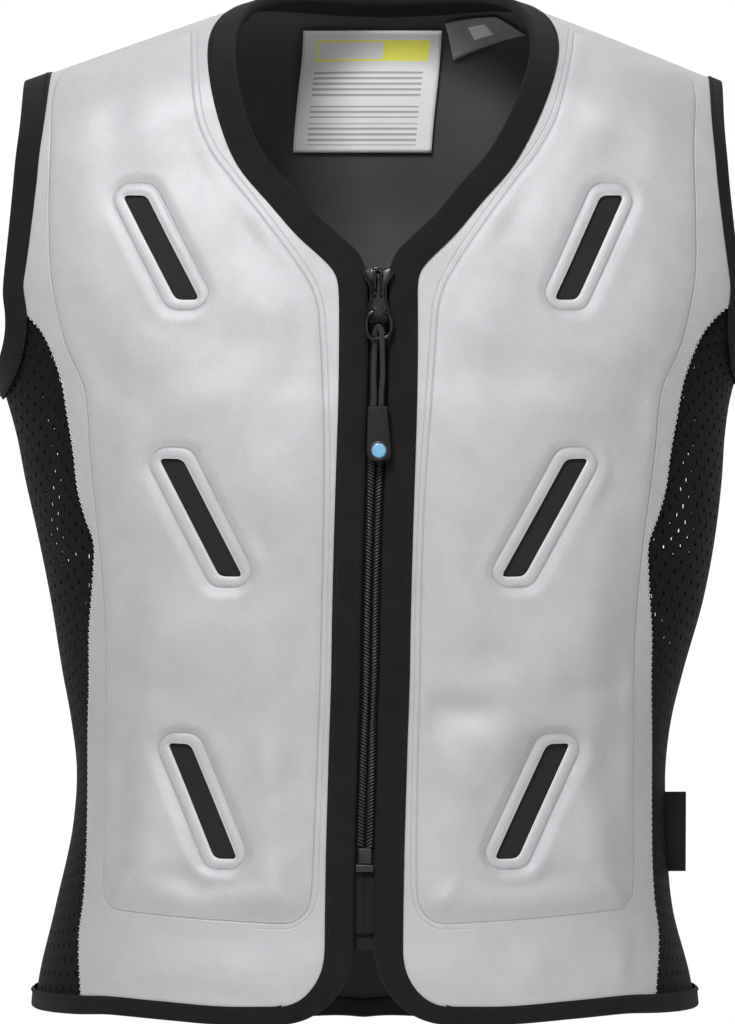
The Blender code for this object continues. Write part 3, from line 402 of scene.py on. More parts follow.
class Look:
    """One finish of the vest, a material on the Principled shader."""

    def __init__(self, name, **finish):
        self.material = bpy.data.materials.new(name)
        self.material.use_nodes = True
        self.tree = self.material.node_tree
        self.shader = self.tree.nodes["Principled BSDF"]
        for socket, value in finish.items():
            self.set(socket.replace("_", " "), value)

    def feed(self, socket, value):
        if isinstance(value, Wire):
            self.tree.links.new(value.socket, socket)
        else:
            socket.default_value = value

    def node(self, kind, settings, sockets, output=0):
        """Adds any node: its settings first, then the values or links of its sockets."""
        made = self.tree.nodes.new("ShaderNode" + kind)
        for name, value in settings.items():
            setattr(made, name, value)
        for name, value in sockets.items():
            self.feed(made.inputs[name], value)
        return Wire(self, made.outputs[output])

    def set(self, socket, value):
        self.feed(self.shader.inputs[socket], value)

    def place(self):
        return self.node("TexCoord", {}, {}, "Object")

    def flat_place(self):
        """The two coordinates of the cloth's flat cut."""
        split = self.node("SeparateXYZ", {}, {0: self.node("UVMap", {"uv_map": "cloth"}, {})})
        return split, Wire(self, split.socket.node.outputs[1])

    def along_cloth(self):
        """Distances along and across the cloth, in millimetres."""
        along, across = self.flat_place()
        return along * 1000, across * 1000

    def noise(self, size, detail=2.0, at=None):
        """Soft random relief from 0 to 1, with features of a size in metres."""
        sockets = {"Vector": at or self.place(), "Scale": 1 / size, "Detail": detail}
        return self.node("TexNoise", {}, sockets)

    def attribute(self, name):
        return self.node("Attribute", {"attribute_name": name}, {}, "Fac")

    def mix(self, share, first, second):
        """A colour between two, given as three numbers or as wires."""
        colours = [c if isinstance(c, Wire) else (*c, 1) for c in (first, second)]
        return self.node("Mix", {"data_type": "RGBA"}, {0: share, 6: colours[0], 7: colours[1]}, 2)

    def tone(self, share, first, second):
        """Base colour between two colours."""
        self.set("Base Color", self.mix(share, first, second))

    def clouded(self, size, first, second):
        """Base colour that wavers between two colours over a size in metres."""
        self.tone(self.noise(size), first, second)

    def relief(self, height):
        """Bumps the surface by a height in millimetres."""
        self.set("Normal", self.node("Bump", {}, {"Height": height, "Distance": MM, "Strength": 1.0}))


def lay_flat(mesh, places):
    """Keeps the flat places of a mesh's points as its UV map."""
    layer = mesh.uv_layers.get("cloth") or mesh.uv_layers.new(name="cloth")
    corner = np.zeros(len(mesh.loops), int)
    mesh.loops.foreach_get("vertex_index", corner)
    layer.data.foreach_set("uv", places.reshape(-1, 2)[corner].astype(np.float32).ravel())


def new_piece(name, points, faces, look, flat=None):
    """A named piece on its own mesh, with the flat cut of its cloth as UV map."""
    mesh = bpy.data.meshes.new(name)
    mesh.from_pydata(np.asarray(points).reshape(-1, 3).tolist(), [], np.asarray(faces).tolist())
    if flat is not None:
        lay_flat(mesh, flat)
    mesh.materials.append(look.material)
    mesh.validate()
    mesh.shade_smooth()
    return shown(name, mesh)


def grid_faces(rows, columns):
    index = np.arange(rows * columns).reshape(rows, columns)
    quads = [index[:-1, :-1], index[1:, :-1], index[1:, 1:], index[:-1, 1:]]
    return np.stack(quads, axis=-1).reshape(-1, 4)


def thicken(made, thickness):
    """Gives an open sheet its wall on the outer side, and applies it."""
    wall = made.modifiers.new("Thickness", "SOLIDIFY")
    wall.thickness = thickness
    wall.offset = 1
    bake(made)


def bake(made):
    """Applies all modifiers of a piece."""
    solid = bpy.data.meshes.new_from_object(made.evaluated_get(bpy.context.evaluated_depsgraph_get()))
    made.modifiers.clear()
    made.data = solid


def area_of(made):
    return sum(face.area for face in made.data.polygons)


def finish_piece(made, slot, *nodes):
    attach(made, "root")
    if nodes:
        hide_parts(*nodes)


def looks_inwards(points, face, out):
    corner = points.reshape(-1, 3)[list(face[:3])]
    return np.cross(corner[1] - corner[0], corner[2] - corner[0]) @ out.reshape(-1, 3)[face[0]] < 0


def faces_outwards(points, faces, out):
    """Turns a grid's faces round if they look inwards."""
    return faces[:, ::-1] if looks_inwards(points, faces[len(faces) // 2], out) else faces


def lining(name, size, bump, **finish):
    """A fine knit with soft clouds; gives its look and the share of its lighter tone."""
    look = Look(name, Specular_IOR_Level=0.3, **finish)
    wale, course = look.along_cloth()
    knit = (wale / 0.9).wave() * (course / 0.9).wave()
    cloud = look.noise(size)
    look.relief(knit * 0.05 + cloud * bump)
    return look, cloud * 0.7 + knit * 0.12


lining_look, share = lining("dark_lining", 0.06, 0.8, Roughness=0.8, Sheen_Weight=0.08)
lining_look.tone(share, (0.005, 0.005, 0.0052), (0.013, 0.013, 0.0134))
back_look, share = lining("grey_lining", 0.05, 1.6, Roughness=0.75, Sheen_Weight=0.1)
# Painted shade: below the waist the back lining's colour turns black by height, standing in for the shade inside
# the hem.
level = back_look.node("SeparateXYZ", {}, {0: back_look.place()}, "Z")
back_look.tone(level.rise(-0.44, -0.30), (0.010, 0.010, 0.0105),
               back_look.mix(share, (0.038, 0.038, 0.039), (0.090, 0.090, 0.092)))

front_cut = front_pattern(LINING_CELL)
back_cut = back_pattern(LINING_CELL)
for name, cut, side, look in (("front_lining_right", front_cut, -1, lining_look),
                              ("front_lining_left", front_cut, 1, lining_look),
                              ("back_lining", back_cut, 1, back_look)):
    points, out = surface(torso, cut[..., 0] * side, cut[..., 1])
    faces = faces_outwards(points, grid_faces(*cut.shape[:2]), out)
    layer = new_piece(name + "_cloth", points, faces, look, cut)
    thicken(layer, LINING)
    finish_piece(layer, "lining", name)


# Silver bladder panels: two films welded face to face round a flat bladder that is filled with water, in light
# grey silver cloth. A weld line runs inside the outline, double along the neck and the zip, and each front has
# three slanted vent slots, die cut inside a welded rim. The cut edges go into the binding.
LAYER_GAP = 0.5 * MM
SHEET = 1.2 * MM
PANEL_FOOT = LINING + LAYER_GAP
# Film heights, and reaches and places of their waves, in millimetres
WELD_STEP = 0.9
WELD_STEP_REACH = 1.5
FILL = 2.4
FILL_LOW = 2.4
FILL_REACH = 26
LOW_START = 150
LOW_REACH = 280
SAG = 5.6
SAG_REACH = 17
SAG_START = 390
SAG_RISE = 50
SWELL_SIZES = (24, 31, 38, 46, 57, 70)
SWELL_FLATNESS = 250
SWELL_EDGE = 16
DENT_SCALE = 2.3
DENT_EDGE = 10
HEM_COVER = 9.5
HEM_START = 440
HEM_EASE = (14, 20, 10)
HEM_BEND = 1.6
HEM_LIFT = 0.9
DOUBLE_WELD = 2.6
VENT_WIDTH = 11.6 * MM
VENT_CORNER = 3.2 * MM
VENT_RIM = 5.0
RIM_CROWN = 0.8
# Vents: share of the half width, share of the length, height and slant in millimetres
VENTS = [(0.740, 0.2215, 50, 24.5), (0.593, 0.4905, 57, 30), (0.572, 0.779, 56, 24)]
# Weld line of a front, from the shoulder round the outside: millimetres across and run
FRONT_WELD = [(93.5, 20), (122, 16), (150, 14), (156.5, 30), (156, 60), (156.5, 95), (155.5, 125), (149, 158),
              (139, 186), (136, 218), (130.5, 270), (128, 310), (128, 360), (128.5, 410), (128.5, 433),
              (127.5, 441), (123.5, 447), (115, 451), (78, 466), (50, 476.5), (37, 480.5), (30.5, 479),
              (26.8, 474.5), (25.2, 464), (24.5, 430), (24, 374),
              (24, 276), (27.5, 200), (30, 178), (38, 160), (54, 133), (70, 107), (79, 92), (87, 72), (91.5, 45)]
# Weld line of the back, half of it: millimetres across and run
BACK_WELD = [(0, 52), (30, 46), (58, 32), (80, 18), (100, 14), (150, 14), (156, 30), (156, 125), (149, 158),
             (139, 190), (131, 260), (128, 320), (128.5, 410), (128.5, 450), (126, 460), (118, 464), (60, 482),
             (0, 488)]
# Soft dents and swells of the filled fronts, in millimetres but for the depth, which counts by DENT_SCALE
DENTS = [
    # side, across, down, reach across, reach down, depth
    (-1, 128, 48, 12, 16, 0.8), (-1, 84, 60, 12, 22, 0.7), (-1, 62, 100, 16, 20, 0.9),
    (-1, 124, 150, 16, 30, 0.8), (-1, 70, 150, 26, 14, 0.6), (-1, 52, 190, 12, 30, 0.8),
    (-1, 112, 182, 14, 12, 0.9), (-1, 58, 250, 14, 18, 0.9), (-1, 108, 262, 12, 20, 0.8),
    (-1, 62, 330, 14, 16, 1.5), (-1, 98, 322, 18, 10, 1.2), (-1, 84, 415, 34, 8, 1.4),
    (-1, 46, 362, 10, 26, -1.0), (-1, 118, 372, 9, 26, 0.8), (-1, 40, 300, 9, 30, 0.7),
    (1, 120, 60, 18, 12, 0.8), (1, 66, 100, 12, 20, 0.8), (1, 60, 170, 20, 16, 0.7),
    (1, 118, 182, 16, 26, 0.8), (1, 48, 230, 12, 26, 0.8), (1, 112, 226, 12, 14, 0.9),
    (1, 58, 305, 16, 12, 1.3), (1, 48, 330, 22, 9, 1.8), (1, 62, 345, 12, 16, -1.3),
    (1, 108, 320, 18, 10, 1.2), (1, 84, 415, 36, 9, 1.5), (1, 118, 360, 9, 20, 0.8),
    (1, 106, 290, 16, 14, -0.7),
]
# Waves of the free cloth along the front hem: side, across, reach, depth
HEM_WAVES = [(1, 60, 12, 1.8), (1, 104, 13, 2.0), (1, 82, 9, -0.9), (1, 124, 9, -1.2), (-1, 38, 9, 1.2),
             (-1, 64, 16, -0.6), (-1, 118, 12, 0.8)]


def distance_to(places, line):
    """Distance from places to a closed line through points, below zero inside it."""
    step = np.roll(line, -1, axis=0) - line
    best = np.full(len(places), np.inf)
    inside = np.zeros(len(places), bool)
    for (x, y), (dx, dy) in zip(line, step):
        share = np.clip(((places[:, 0] - x) * dx + (places[:, 1] - y) * dy) / (dx * dx + dy * dy), 0, 1)
        best = np.minimum(best, np.hypot(places[:, 0] - x - share * dx, places[:, 1] - y - share * dy))
        if dy:
            crosses = (places[:, 1] >= min(y, y + dy)) & (places[:, 1] < max(y, y + dy))
            inside ^= crosses & (places[:, 0] < x + dx * (places[:, 1] - y) / dy)
    return np.where(inside, -best, best)


def smooth_rise(value, reach):
    share = np.clip(value / reach, 0, 1)
    return share * share * (3 - 2 * share)


def slot_outline(across, down, height, slant):
    """Slot of a vent on the left front, in millimetres of the pattern, with round corners."""
    middle = SEAM_HALF * across
    corners = [(sx * VENT_WIDTH / 2 + sz * slant * MM / 2, sz * height * MM / 2)
               for sx, sz in ((-1, -1), (1, -1), (1, 1), (-1, 1))]
    outline = []
    for index, corner in enumerate(corners):
        corner = np.array(corner)
        before = np.array(corners[index - 1]) - corner
        after = np.array(corners[(index + 1) % 4]) - corner
        start = corner + before / np.linalg.norm(before) * VENT_CORNER
        end = corner + after / np.linalg.norm(after) * VENT_CORNER
        for t in np.linspace(0, 1, 5):
            outline.append((1 - t) ** 2 * start + 2 * t * (1 - t) * corner + t * t * end)
    outline = np.array(outline)
    x = outline[:, 0] + middle
    return np.stack([x, run_at(x, outline[:, 1] - LENGTH * down)], axis=-1) / MM


def swell(places, edge, low_share, seed):
    """Random soft waves of a filled film, one value for each place in millimetres."""
    chance = np.random.default_rng(seed)
    waves = np.zeros(len(places))
    for size in SWELL_SIZES:
        for _ in range(3):
            turn = chance.uniform(0, 2 * math.pi)
            phase = chance.uniform(0, 2 * math.pi)
            along = places @ np.array([math.cos(turn), math.sin(turn)])
            waves += np.sin(along * 2 * math.pi / size + phase) * size / SWELL_FLATNESS
    return waves * smooth_rise(edge, SWELL_EDGE) * (0.6 + 0.4 * low_share)


def film_height(places, weld, rim, brim, seed, side):
    """Height of the film's outer face over the panel's foot, in millimetres."""
    edge = np.minimum(weld, rim - VENT_RIM)
    low_share = smooth_rise(places[:, 1] - LOW_START, LOW_REACH)
    height = np.full(len(places), SHEET / MM)
    height += WELD_STEP * (1 - np.exp(-np.maximum(edge, 0) / WELD_STEP_REACH))
    down = -torso(places[:, 0] * MM, places[:, 1] * MM)[:, 2] / MM
    open_share = 0.4 * smooth_rise(rim - VENT_RIM, 5) + 0.6 * smooth_rise(rim - VENT_RIM, FILL_REACH)
    height += (FILL + FILL_LOW * low_share) * smooth_rise(weld, FILL_REACH) * open_share
    height += SAG * smooth_rise(weld, SAG_REACH) * smooth_rise(down - SAG_START, SAG_RISE) * open_share
    height += swell(places, edge, low_share, seed)
    across = places[:, 0]
    for dent_side, at, level, reach_across, reach_down, depth in DENTS:
        if dent_side == side:
            hollow = np.exp(-((across - at) / reach_across) ** 2 - ((down - level) / reach_down) ** 2)
            height -= DENT_SCALE * depth * hollow * smooth_rise(edge, DENT_EDGE)
    hem = np.prod([smooth_rise(value, ease_in) for value, ease_in
                   in zip((-weld, down - HEM_START, brim - HEM_COVER), HEM_EASE)], axis=0)
    wave = np.zeros(len(places))
    for wave_side, at, reach, depth in HEM_WAVES:
        if wave_side == side:
            wave -= depth * np.exp(-((across - at) / reach) ** 2)
    height += np.logaddexp(0, HEM_BEND * (wave + HEM_LIFT)) / HEM_BEND * hem * abs(side)
    crown = np.clip(rim / VENT_RIM, 0, 1)
    height += RIM_CROWN * np.sin(crown * math.pi) * (rim < VENT_RIM)
    return height


def flat_grid(cut, slots):
    """Flat mesh of a pattern with slots cut through it; gives its places and faces in millimetres."""
    rows, columns = cut.shape[:2]
    sheet = bpy.data.meshes.new("flat")
    flat = np.concatenate([cut.reshape(-1, 2) / MM, np.zeros((rows * columns, 1))], axis=1)
    sheet.from_pydata(flat.tolist(), [], grid_faces(rows, columns).tolist())
    build = bmesh.new()
    build.from_mesh(sheet)
    bpy.data.meshes.remove(sheet)
    for slot in slots:
        low = slot.min(axis=0) - 3
        high = slot.max(axis=0) + 3
        near = [face for face in build.faces
                if all(low[axis] < face.verts[0].co[axis] < high[axis] for axis in (0, 1))]
        for start, end in zip(slot, np.roll(slot, -1, axis=0)):
            normal = Vector((end[1] - start[1], start[0] - end[0], 0))
            geometry = list({item for face in near for item in (*face.verts, *face.edges)}) + near
            cut_parts = bmesh.ops.bisect_plane(build, geom=geometry, dist=0.02, plane_co=(*start, 0),
                                               plane_no=normal)["geom"]
            near = list({item for item in cut_parts + near
                         if item.is_valid and isinstance(item, bmesh.types.BMFace)})
        middles = np.array([face.calc_center_median()[:2] for face in near])
        inside = distance_to(middles, slot) < 0
        bmesh.ops.delete(build, geom=[face for face, gone in zip(near, inside) if gone], context="FACES")
    loose = [vertex for vertex in build.verts if not vertex.link_faces]
    bmesh.ops.delete(build, geom=loose, context="VERTS")
    build.verts.index_update()
    places = np.array([vertex.co[:2] for vertex in build.verts])
    faces = [[vertex.index for vertex in face.verts] for face in build.faces]
    build.free()
    return places, faces


def film_panel(name, node, side, face_side, cut, weld_line, slots, seed):
    """One bladder panel: the outer film, with its edges turned down to the lining."""
    places, faces = flat_grid(cut, slots)
    mirrored = places * ((side or 1) * MM, face_side * MM)
    weld = -distance_to(places, weld_line)
    rim = np.full(len(places), 99.0)
    for slot in slots:
        rim = np.minimum(rim, distance_to(places, slot))
    border = np.concatenate([cut[0], cut[:, -1], cut[-1, ::-1], cut[::-1, 0]])[::5] / MM
    brim = -distance_to(places, border)
    height = film_height(places, weld, rim, brim, seed, side)
    points, out = surface(torso, mirrored[:, 0], mirrored[:, 1])
    if looks_inwards(points, faces[0], out):
        faces = [face[::-1] for face in faces]
    film = points + out * (PANEL_FOOT + height[:, None] * MM)
    mesh = bpy.data.meshes.new(name)
    mesh.from_pydata(film.tolist(), [], faces)
    build = bmesh.new()
    build.from_mesh(mesh)
    keys = {key: build.verts.layers.float.new(key) for key in ("weld", "rim")}
    flat = build.loops.layers.uv.new("cloth")
    build.verts.ensure_lookup_table()
    for vertex in build.verts:
        vertex[keys["weld"]] = weld[vertex.index]
        vertex[keys["rim"]] = rim[vertex.index]
    for face in build.faces:
        face.smooth = True
        for loop in face.loops:
            loop[flat].uv = places[loop.vert.index] * MM
    border = [edge for edge in build.edges if edge.is_boundary]
    wall = bmesh.ops.extrude_edge_only(build, edges=border)["geom"]
    build.verts.index_update()
    for item in wall:
        if isinstance(item, bmesh.types.BMVert):
            index = min(edge.other_vert(item).index for edge in item.link_edges)
            item.co = Vector(points[index] + out[index] * PANEL_FOOT)
        if isinstance(item, bmesh.types.BMFace):
            item.material_index = 1
            item.smooth = True
    for edge in border:
        edge.smooth = False
    build.to_mesh(mesh)
    build.free()
    mesh.materials.append(silver_look.material)
    mesh.materials.append(cut_edge_look.material)
    made = shown(name, mesh)
    finish_piece(made, "silver", node)


silver_look = Look("silver_cloth", Roughness=0.5, Metallic=0.15, Sheen_Weight=0.15, Sheen_Roughness=0.4)
warp, weft = silver_look.along_cloth()
weld_side = silver_look.attribute("weld")
rim_side = silver_look.attribute("rim")
weave = (warp / 0.7).wave() * (weft / 0.7).wave()
grain = silver_look.noise(0.5 * MM, 3)
fleck = silver_look.noise(1.2 * MM, 2)
mottle = silver_look.noise(9 * MM, 2)
cloud = silver_look.noise(70 * MM, 2)
outer_side = abs(warp).rise(95, 110)
low_side = abs(warp).rise(42, 60) * abs(weft).rise(425, 440)
second_weld = weld_side.line(-DOUBLE_WELD, 0.55) * (1 - outer_side) * (1 - low_side)
weld_lines = weld_side.line(0, 0.7) + second_weld * 0.6
weld_lines = weld_lines * rim_side.rise(VENT_RIM, VENT_RIM + 1)
rim_line = rim_side.line(VENT_RIM, 1.1)
cut_edge = 1 - rim_side.rise(0.3, 1.0)
share = 0.55 + (grain - 0.5) * 0.35 + (fleck - 0.5) * 0.3 + (mottle - 0.5) * 0.3 + (cloud - 0.5) * 0.3
share = share + weave * 0.04 - weld_lines * 0.22 - rim_line * 0.2 + cut_edge * 0.5
silver_look.tone(share, (0.315, 0.322, 0.335), (0.50, 0.506, 0.518))
silver_look.set("Roughness", 0.42 + grain * 0.16 + weld_lines * 0.1)
silver_look.relief(weave * 0.03 + grain * 0.10 + mottle * 0.12 - weld_lines * 0.30 - rim_line * 0.35)

cut_edge_look = Look("film_cut_edge", Base_Color=(0.80, 0.81, 0.82, 1), Roughness=0.55)
cut_edge_look.relief(cut_edge_look.noise(0.8 * MM) * 0.1)

vent_slots = [slot_outline(*vent) for vent in VENTS]
front_weld = smooth_line(FRONT_WELD + FRONT_WELD[:1], 6)[:-1]
half_weld = smooth_line(BACK_WELD, 6)
back_weld = np.vstack([half_weld, half_weld[-2:0:-1] * (-1, 1)])
fine_front = front_pattern(CELL)
fine_back = back_pattern(BACK_CELL) * (1, -1)
for side, label, seed in ((-1, "right", 3), (1, "left", 8)):
    film_panel(f"silver_front_{label}", f"front_panel_{label}", side, 1, fine_front, front_weld, vent_slots,
               seed)
film_panel("silver_back", "back_panel", 0, -1, fine_back, back_weld, [], 21)


# Side panels: open black stretch knit between the front and the back, under each arm. Rows of upright eyelets
# are knitted into it, staggered from row to row, and it lies in fine creases where it stretches.
ARMHOLE_DEPTH = 171 * MM
SIDE_HEM = 488 * MM
MESH = 1.2 * MM
EYELET_COLUMNS = 38
EYELET_ROWS = 52
# Share of a cell's width that is open
EYELET_SHARE = 0.5
# Moves the cell counts off zero and off the lines between cells
EYELET_SHIFT = 500.25
MESH_WALL = 0.6 * MM
FLANK_WIDTH = 0.15
SIDES = ((-1, "right"), (1, "left"))


def flank_pattern(side, columns, cell):
    """Angles and heights of a side panel, from its front seam to its back seam."""
    edges = []
    for seam, turn in ((front_seam, 1), (back_seam, -1)):
        line = spread(seam, round(SIDE_CELLS / cell))
        height = torso(line[:, 0], line[:, 1])[:, 2]
        share = np.minimum(line[:, 0] / half_width(side, height), 1)
        edges.append(np.stack([turn * np.arccos(share ** (ROUNDNESS / 2)), height], axis=-1))
    front, back = edges
    turn = np.linspace(math.pi / 2, -math.pi / 2, columns + 1)
    low = ARMHOLE_DEPTH + front[0, 1]
    swing = np.where(turn > 0, front[0, 0], -back[0, 0])
    top = np.stack([swing * np.sin(turn), front[0, 1] - low * np.cos(turn)], axis=-1)
    bottom = spread(smooth_line([front[-1], (0, -SIDE_HEM), back[-1]]), columns)
    return patch(front, back, top, bottom)


class Growth:
    """A Geometry Nodes tree with named inputs, run once on a piece and applied."""

    def __init__(self, name, **inputs):
        self.tree = bpy.data.node_groups.new(name, "GeometryNodeTree")
        self.tree.interface.new_socket("Geometry", in_out="INPUT", socket_type="NodeSocketGeometry")
        self.tree.interface.new_socket("Geometry", in_out="OUTPUT", socket_type="NodeSocketGeometry")
        self.values = {}
        for key, value in inputs.items():
            kind = {int: "Int", float: "Float"}.get(type(value), "Material")
            socket = self.tree.interface.new_socket(key, in_out="INPUT", socket_type="NodeSocket" + kind)
            self.values[socket.identifier] = value
        self.start = self.tree.nodes.new("NodeGroupInput").outputs

    def node(self, kind, settings, sockets, output=0):
        made = self.tree.nodes.new(kind)
        for name, value in settings.items():
            setattr(made, name, value)
        for name, value in sockets.items():
            if isinstance(value, bpy.types.NodeSocket):
                self.tree.links.new(value, made.inputs[name])
            else:
                made.inputs[name].default_value = value
        return made.outputs[output]

    def maths(self, operation, *values):
        return self.node("ShaderNodeMath", {"operation": operation}, dict(enumerate(values)))

    def grow(self, made, geometry):
        """Ends the tree, runs it on a piece and keeps the result as its plain mesh."""
        whole = self.node("GeometryNodeRealizeInstances", {}, {0: geometry})
        coloured = self.node("GeometryNodeSetMaterial", {}, {0: whole, "Material": self.start["Finish"]})
        self.tree.links.new(coloured, self.tree.nodes.new("NodeGroupOutput").inputs[0])
        modifier = made.modifiers.new(self.tree.name, "NODES")
        modifier.node_group = self.tree
        for identifier, value in self.values.items():
            modifier[identifier] = value
        bake(made)


mesh_look = Look("black_knit", Roughness=0.75, Specular_IOR_Level=0.16, Sheen_Weight=0.008)
around, down_cloth = mesh_look.along_cloth()
courses = ((down_cloth + around * 0.12) / 1.1).wave()
wales = (around / 0.9).wave()
crease = mesh_look.noise(3 * MM, 2, mesh_look.node("VectorMath", {"operation": "MULTIPLY"},
                                                   {0: mesh_look.place(), 1: (0.35, 0.35, 1.6)}))
knit_tone = 0.33 + courses * 0.16 + wales * 0.06 + (crease - 0.5) * 0.6
mesh_look.tone(knit_tone, (0.0008, 0.0008, 0.0009), (0.0045, 0.0045, 0.0047))
mesh_look.relief(courses * 0.16 + wales * 0.08 + crease)

for side, label in SIDES:
    fine = flank_pattern(side, 40, LINING_CELL)
    growth = Growth("eyelets", Columns=EYELET_COLUMNS, Rows=EYELET_ROWS, Share=EYELET_SHARE,
                    Finish=mesh_look.material)
    cells = [growth.start["Columns"], growth.start["Rows"]]
    columns, rows = [growth.maths("ADD", count, 1.0) for count in cells]
    sheet = growth.node("GeometryNodeMeshGrid", {},
                        {"Size X": 1.0, "Size Y": 1.0, "Vertices X": columns, "Vertices Y": rows})
    spot = growth.node("GeometryNodeInputPosition", {}, {})
    split = growth.node("ShaderNodeSeparateXYZ", {}, {0: spot}).node.outputs
    whole = [growth.maths("FLOOR", growth.maths("MULTIPLY_ADD", split[axis], cells[axis], EYELET_SHIFT))
             for axis in (0, 1)]
    every = growth.maths("PINGPONG", growth.maths("ADD", *whole), 1.0)
    eyelet = growth.node("FunctionNodeCompare", {"data_type": "FLOAT", "operation": "GREATER_THAN"},
                         {0: every, 1: 0.5})
    ringed = growth.node("GeometryNodeExtrudeMesh", {"mode": "FACES"},
                         {"Mesh": sheet, "Selection": eyelet, "Offset Scale": 0.0, "Individual": True})
    top = ringed.node.outputs["Top"]
    shrunk = growth.node("GeometryNodeScaleElements", {"domain": "FACE"},
                         {"Geometry": ringed, "Selection": top, "Scale": growth.start["Share"]})
    opened = growth.node("GeometryNodeDeleteGeometry", {"domain": "FACE"},
                         {"Geometry": shrunk, "Selection": top})
    knit_piece = new_piece(f"side_mesh_{label}", [(0, 0, 0)], [], mesh_look)
    growth.grow(knit_piece, opened)
    soften = knit_piece.modifiers.new("Round the eyelets", "SUBSURF")
    soften.levels = soften.render_levels = 1
    soften.boundary_smooth = "PRESERVE_CORNERS"
    bake(knit_piece)
    flat = np.zeros(len(knit_piece.data.vertices) * 3)
    knit_piece.data.vertices.foreach_get("co", flat)
    at = np.clip(flat.reshape(-1, 3)[:, :2] + 0.5, 0, 1) * (fine.shape[1] - 1, fine.shape[0] - 1)
    column, row = np.minimum(at.astype(int), (fine.shape[1] - 2, fine.shape[0] - 2)).T
    over, down_share = (at - np.stack([column, row], axis=-1)).T[..., None]
    place = ((fine[row, column] * (1 - over) + fine[row, column + 1] * over) * (1 - down_share)
             + (fine[row + 1, column] * (1 - over) + fine[row + 1, column + 1] * over) * down_share)
    points, out = surface(partial(flank, side), place[:, 0], place[:, 1])
    knit_piece.data.vertices.foreach_set("co", (points + out * (MESH - MESH_WALL)).ravel())
    lay_flat(knit_piece.data, place * (FLANK_WIDTH, 1))
    build = bmesh.new()
    build.from_mesh(knit_piece.data)
    build.faces.ensure_lookup_table()
    sample = build.faces[len(build.faces) // 2]
    sample.normal_update()
    if sample.normal.dot(Vector(out[sample.verts[0].index])) < 0:
        bmesh.ops.reverse_faces(build, faces=build.faces)
    build.to_mesh(knit_piece.data)
    build.free()
    knit_piece.data.shade_smooth()
    thicken(knit_piece, MESH_WALL)
    finish_piece(knit_piece, "mesh", f"side_panel_{label}")


# Edge binding: a black woven twill tape, folded over the cut edges of all layers and sewn through. One length
# runs up the centre front, round the neck and down again; one goes round the hem, and one round each armhole.
TAPE_WALL = 0.7 * MM
SLOT_CLEAR = 0.8 * MM
FOLD_CLEAR = 0.8 * MM
NECK_BAND = 12.6 * MM
CORNER_ROUND = 8 * MM
CORNER_SPAN = 10
CORNER_REACH = 30 * MM
HEM_BAND = 8 * MM
ARMHOLE_BANDS = {-1: 13.5 * MM, 1: 6.5 * MM}
TAPE_UNDER = PANEL_FOOT + SHEET + 0.3 * MM
BINDING_OUT = TAPE_UNDER + TAPE_WALL
BINDING_IN = -SLOT_CLEAR - TAPE_WALL
BINDING_STEP = 2 * MM
HEM_OVERLAP = 3.5 * MM
INSETS = np.array([0.0, 0.12, 0.35, 0.6, 0.85, 1.0])
TAPE_LIP = np.array([0, 0, 0, 0, 0, 0.35]) * MM
FOLD_STEPS = 5
TAPE_PATTERN = (60, 10 * MM)
STRETCH_STEP = 0.2 * MM
TAPE_SHARP = math.radians(50)
STITCH_PITCH = 2.6 * MM
STITCH_SIZE = (2.0 * MM, 0.45 * MM, 0.30 * MM)
STITCH_LIFT = 0.05 * MM


def band_rings(chart, edge, inward, widths):
    """Rings of a folded tape over an edge line of a pattern, in a closed row round the cloth's edge."""
    ahead = edge + inward * STRETCH_STEP
    moved = chart(ahead[:, 0], ahead[:, 1]) - chart(edge[:, 0], edge[:, 1])
    stretch = np.linalg.norm(moved, axis=1) / STRETCH_STEP
    insets = widths[:, None] * INSETS[None] / stretch[:, None]
    places = edge[:, None] + inward[:, None] * insets[..., None]
    points, out = surface(chart, places[..., 0], places[..., 1])
    into = unit(points[:, 1] - points[:, 0])
    outer = points + out * (BINDING_OUT - TAPE_LIP)[None, :, None]
    inner = points + out * (BINDING_IN + TAPE_LIP)[None, :, None]
    middle = (BINDING_OUT + BINDING_IN) / 2
    reach = (BINDING_OUT - BINDING_IN) / 2
    turns = np.linspace(math.pi / 2, -math.pi / 2, FOLD_STEPS + 2)[1:-1]
    fold = [points[:, 0] - into * (FOLD_CLEAR + TAPE_WALL) * math.cos(turn)
            + out[:, 0] * (middle + reach * math.sin(turn)) for turn in turns]
    low = points - out * SLOT_CLEAR
    high = points + out * TAPE_UNDER
    rings = [outer[:, ::-1], np.stack(fold, axis=1), inner, low[:, :0:-1], high[:, 1:]]
    return np.concatenate(rings, axis=1)


def smooth_piece(name, mesh, look, sharp):
    """A named piece on a mesh, smooth but for edges sharper than an angle."""
    mesh.materials.append(look.material)
    mesh.shade_smooth()
    mesh.set_sharp_from_angle(angle=sharp)
    return shown(name, mesh)


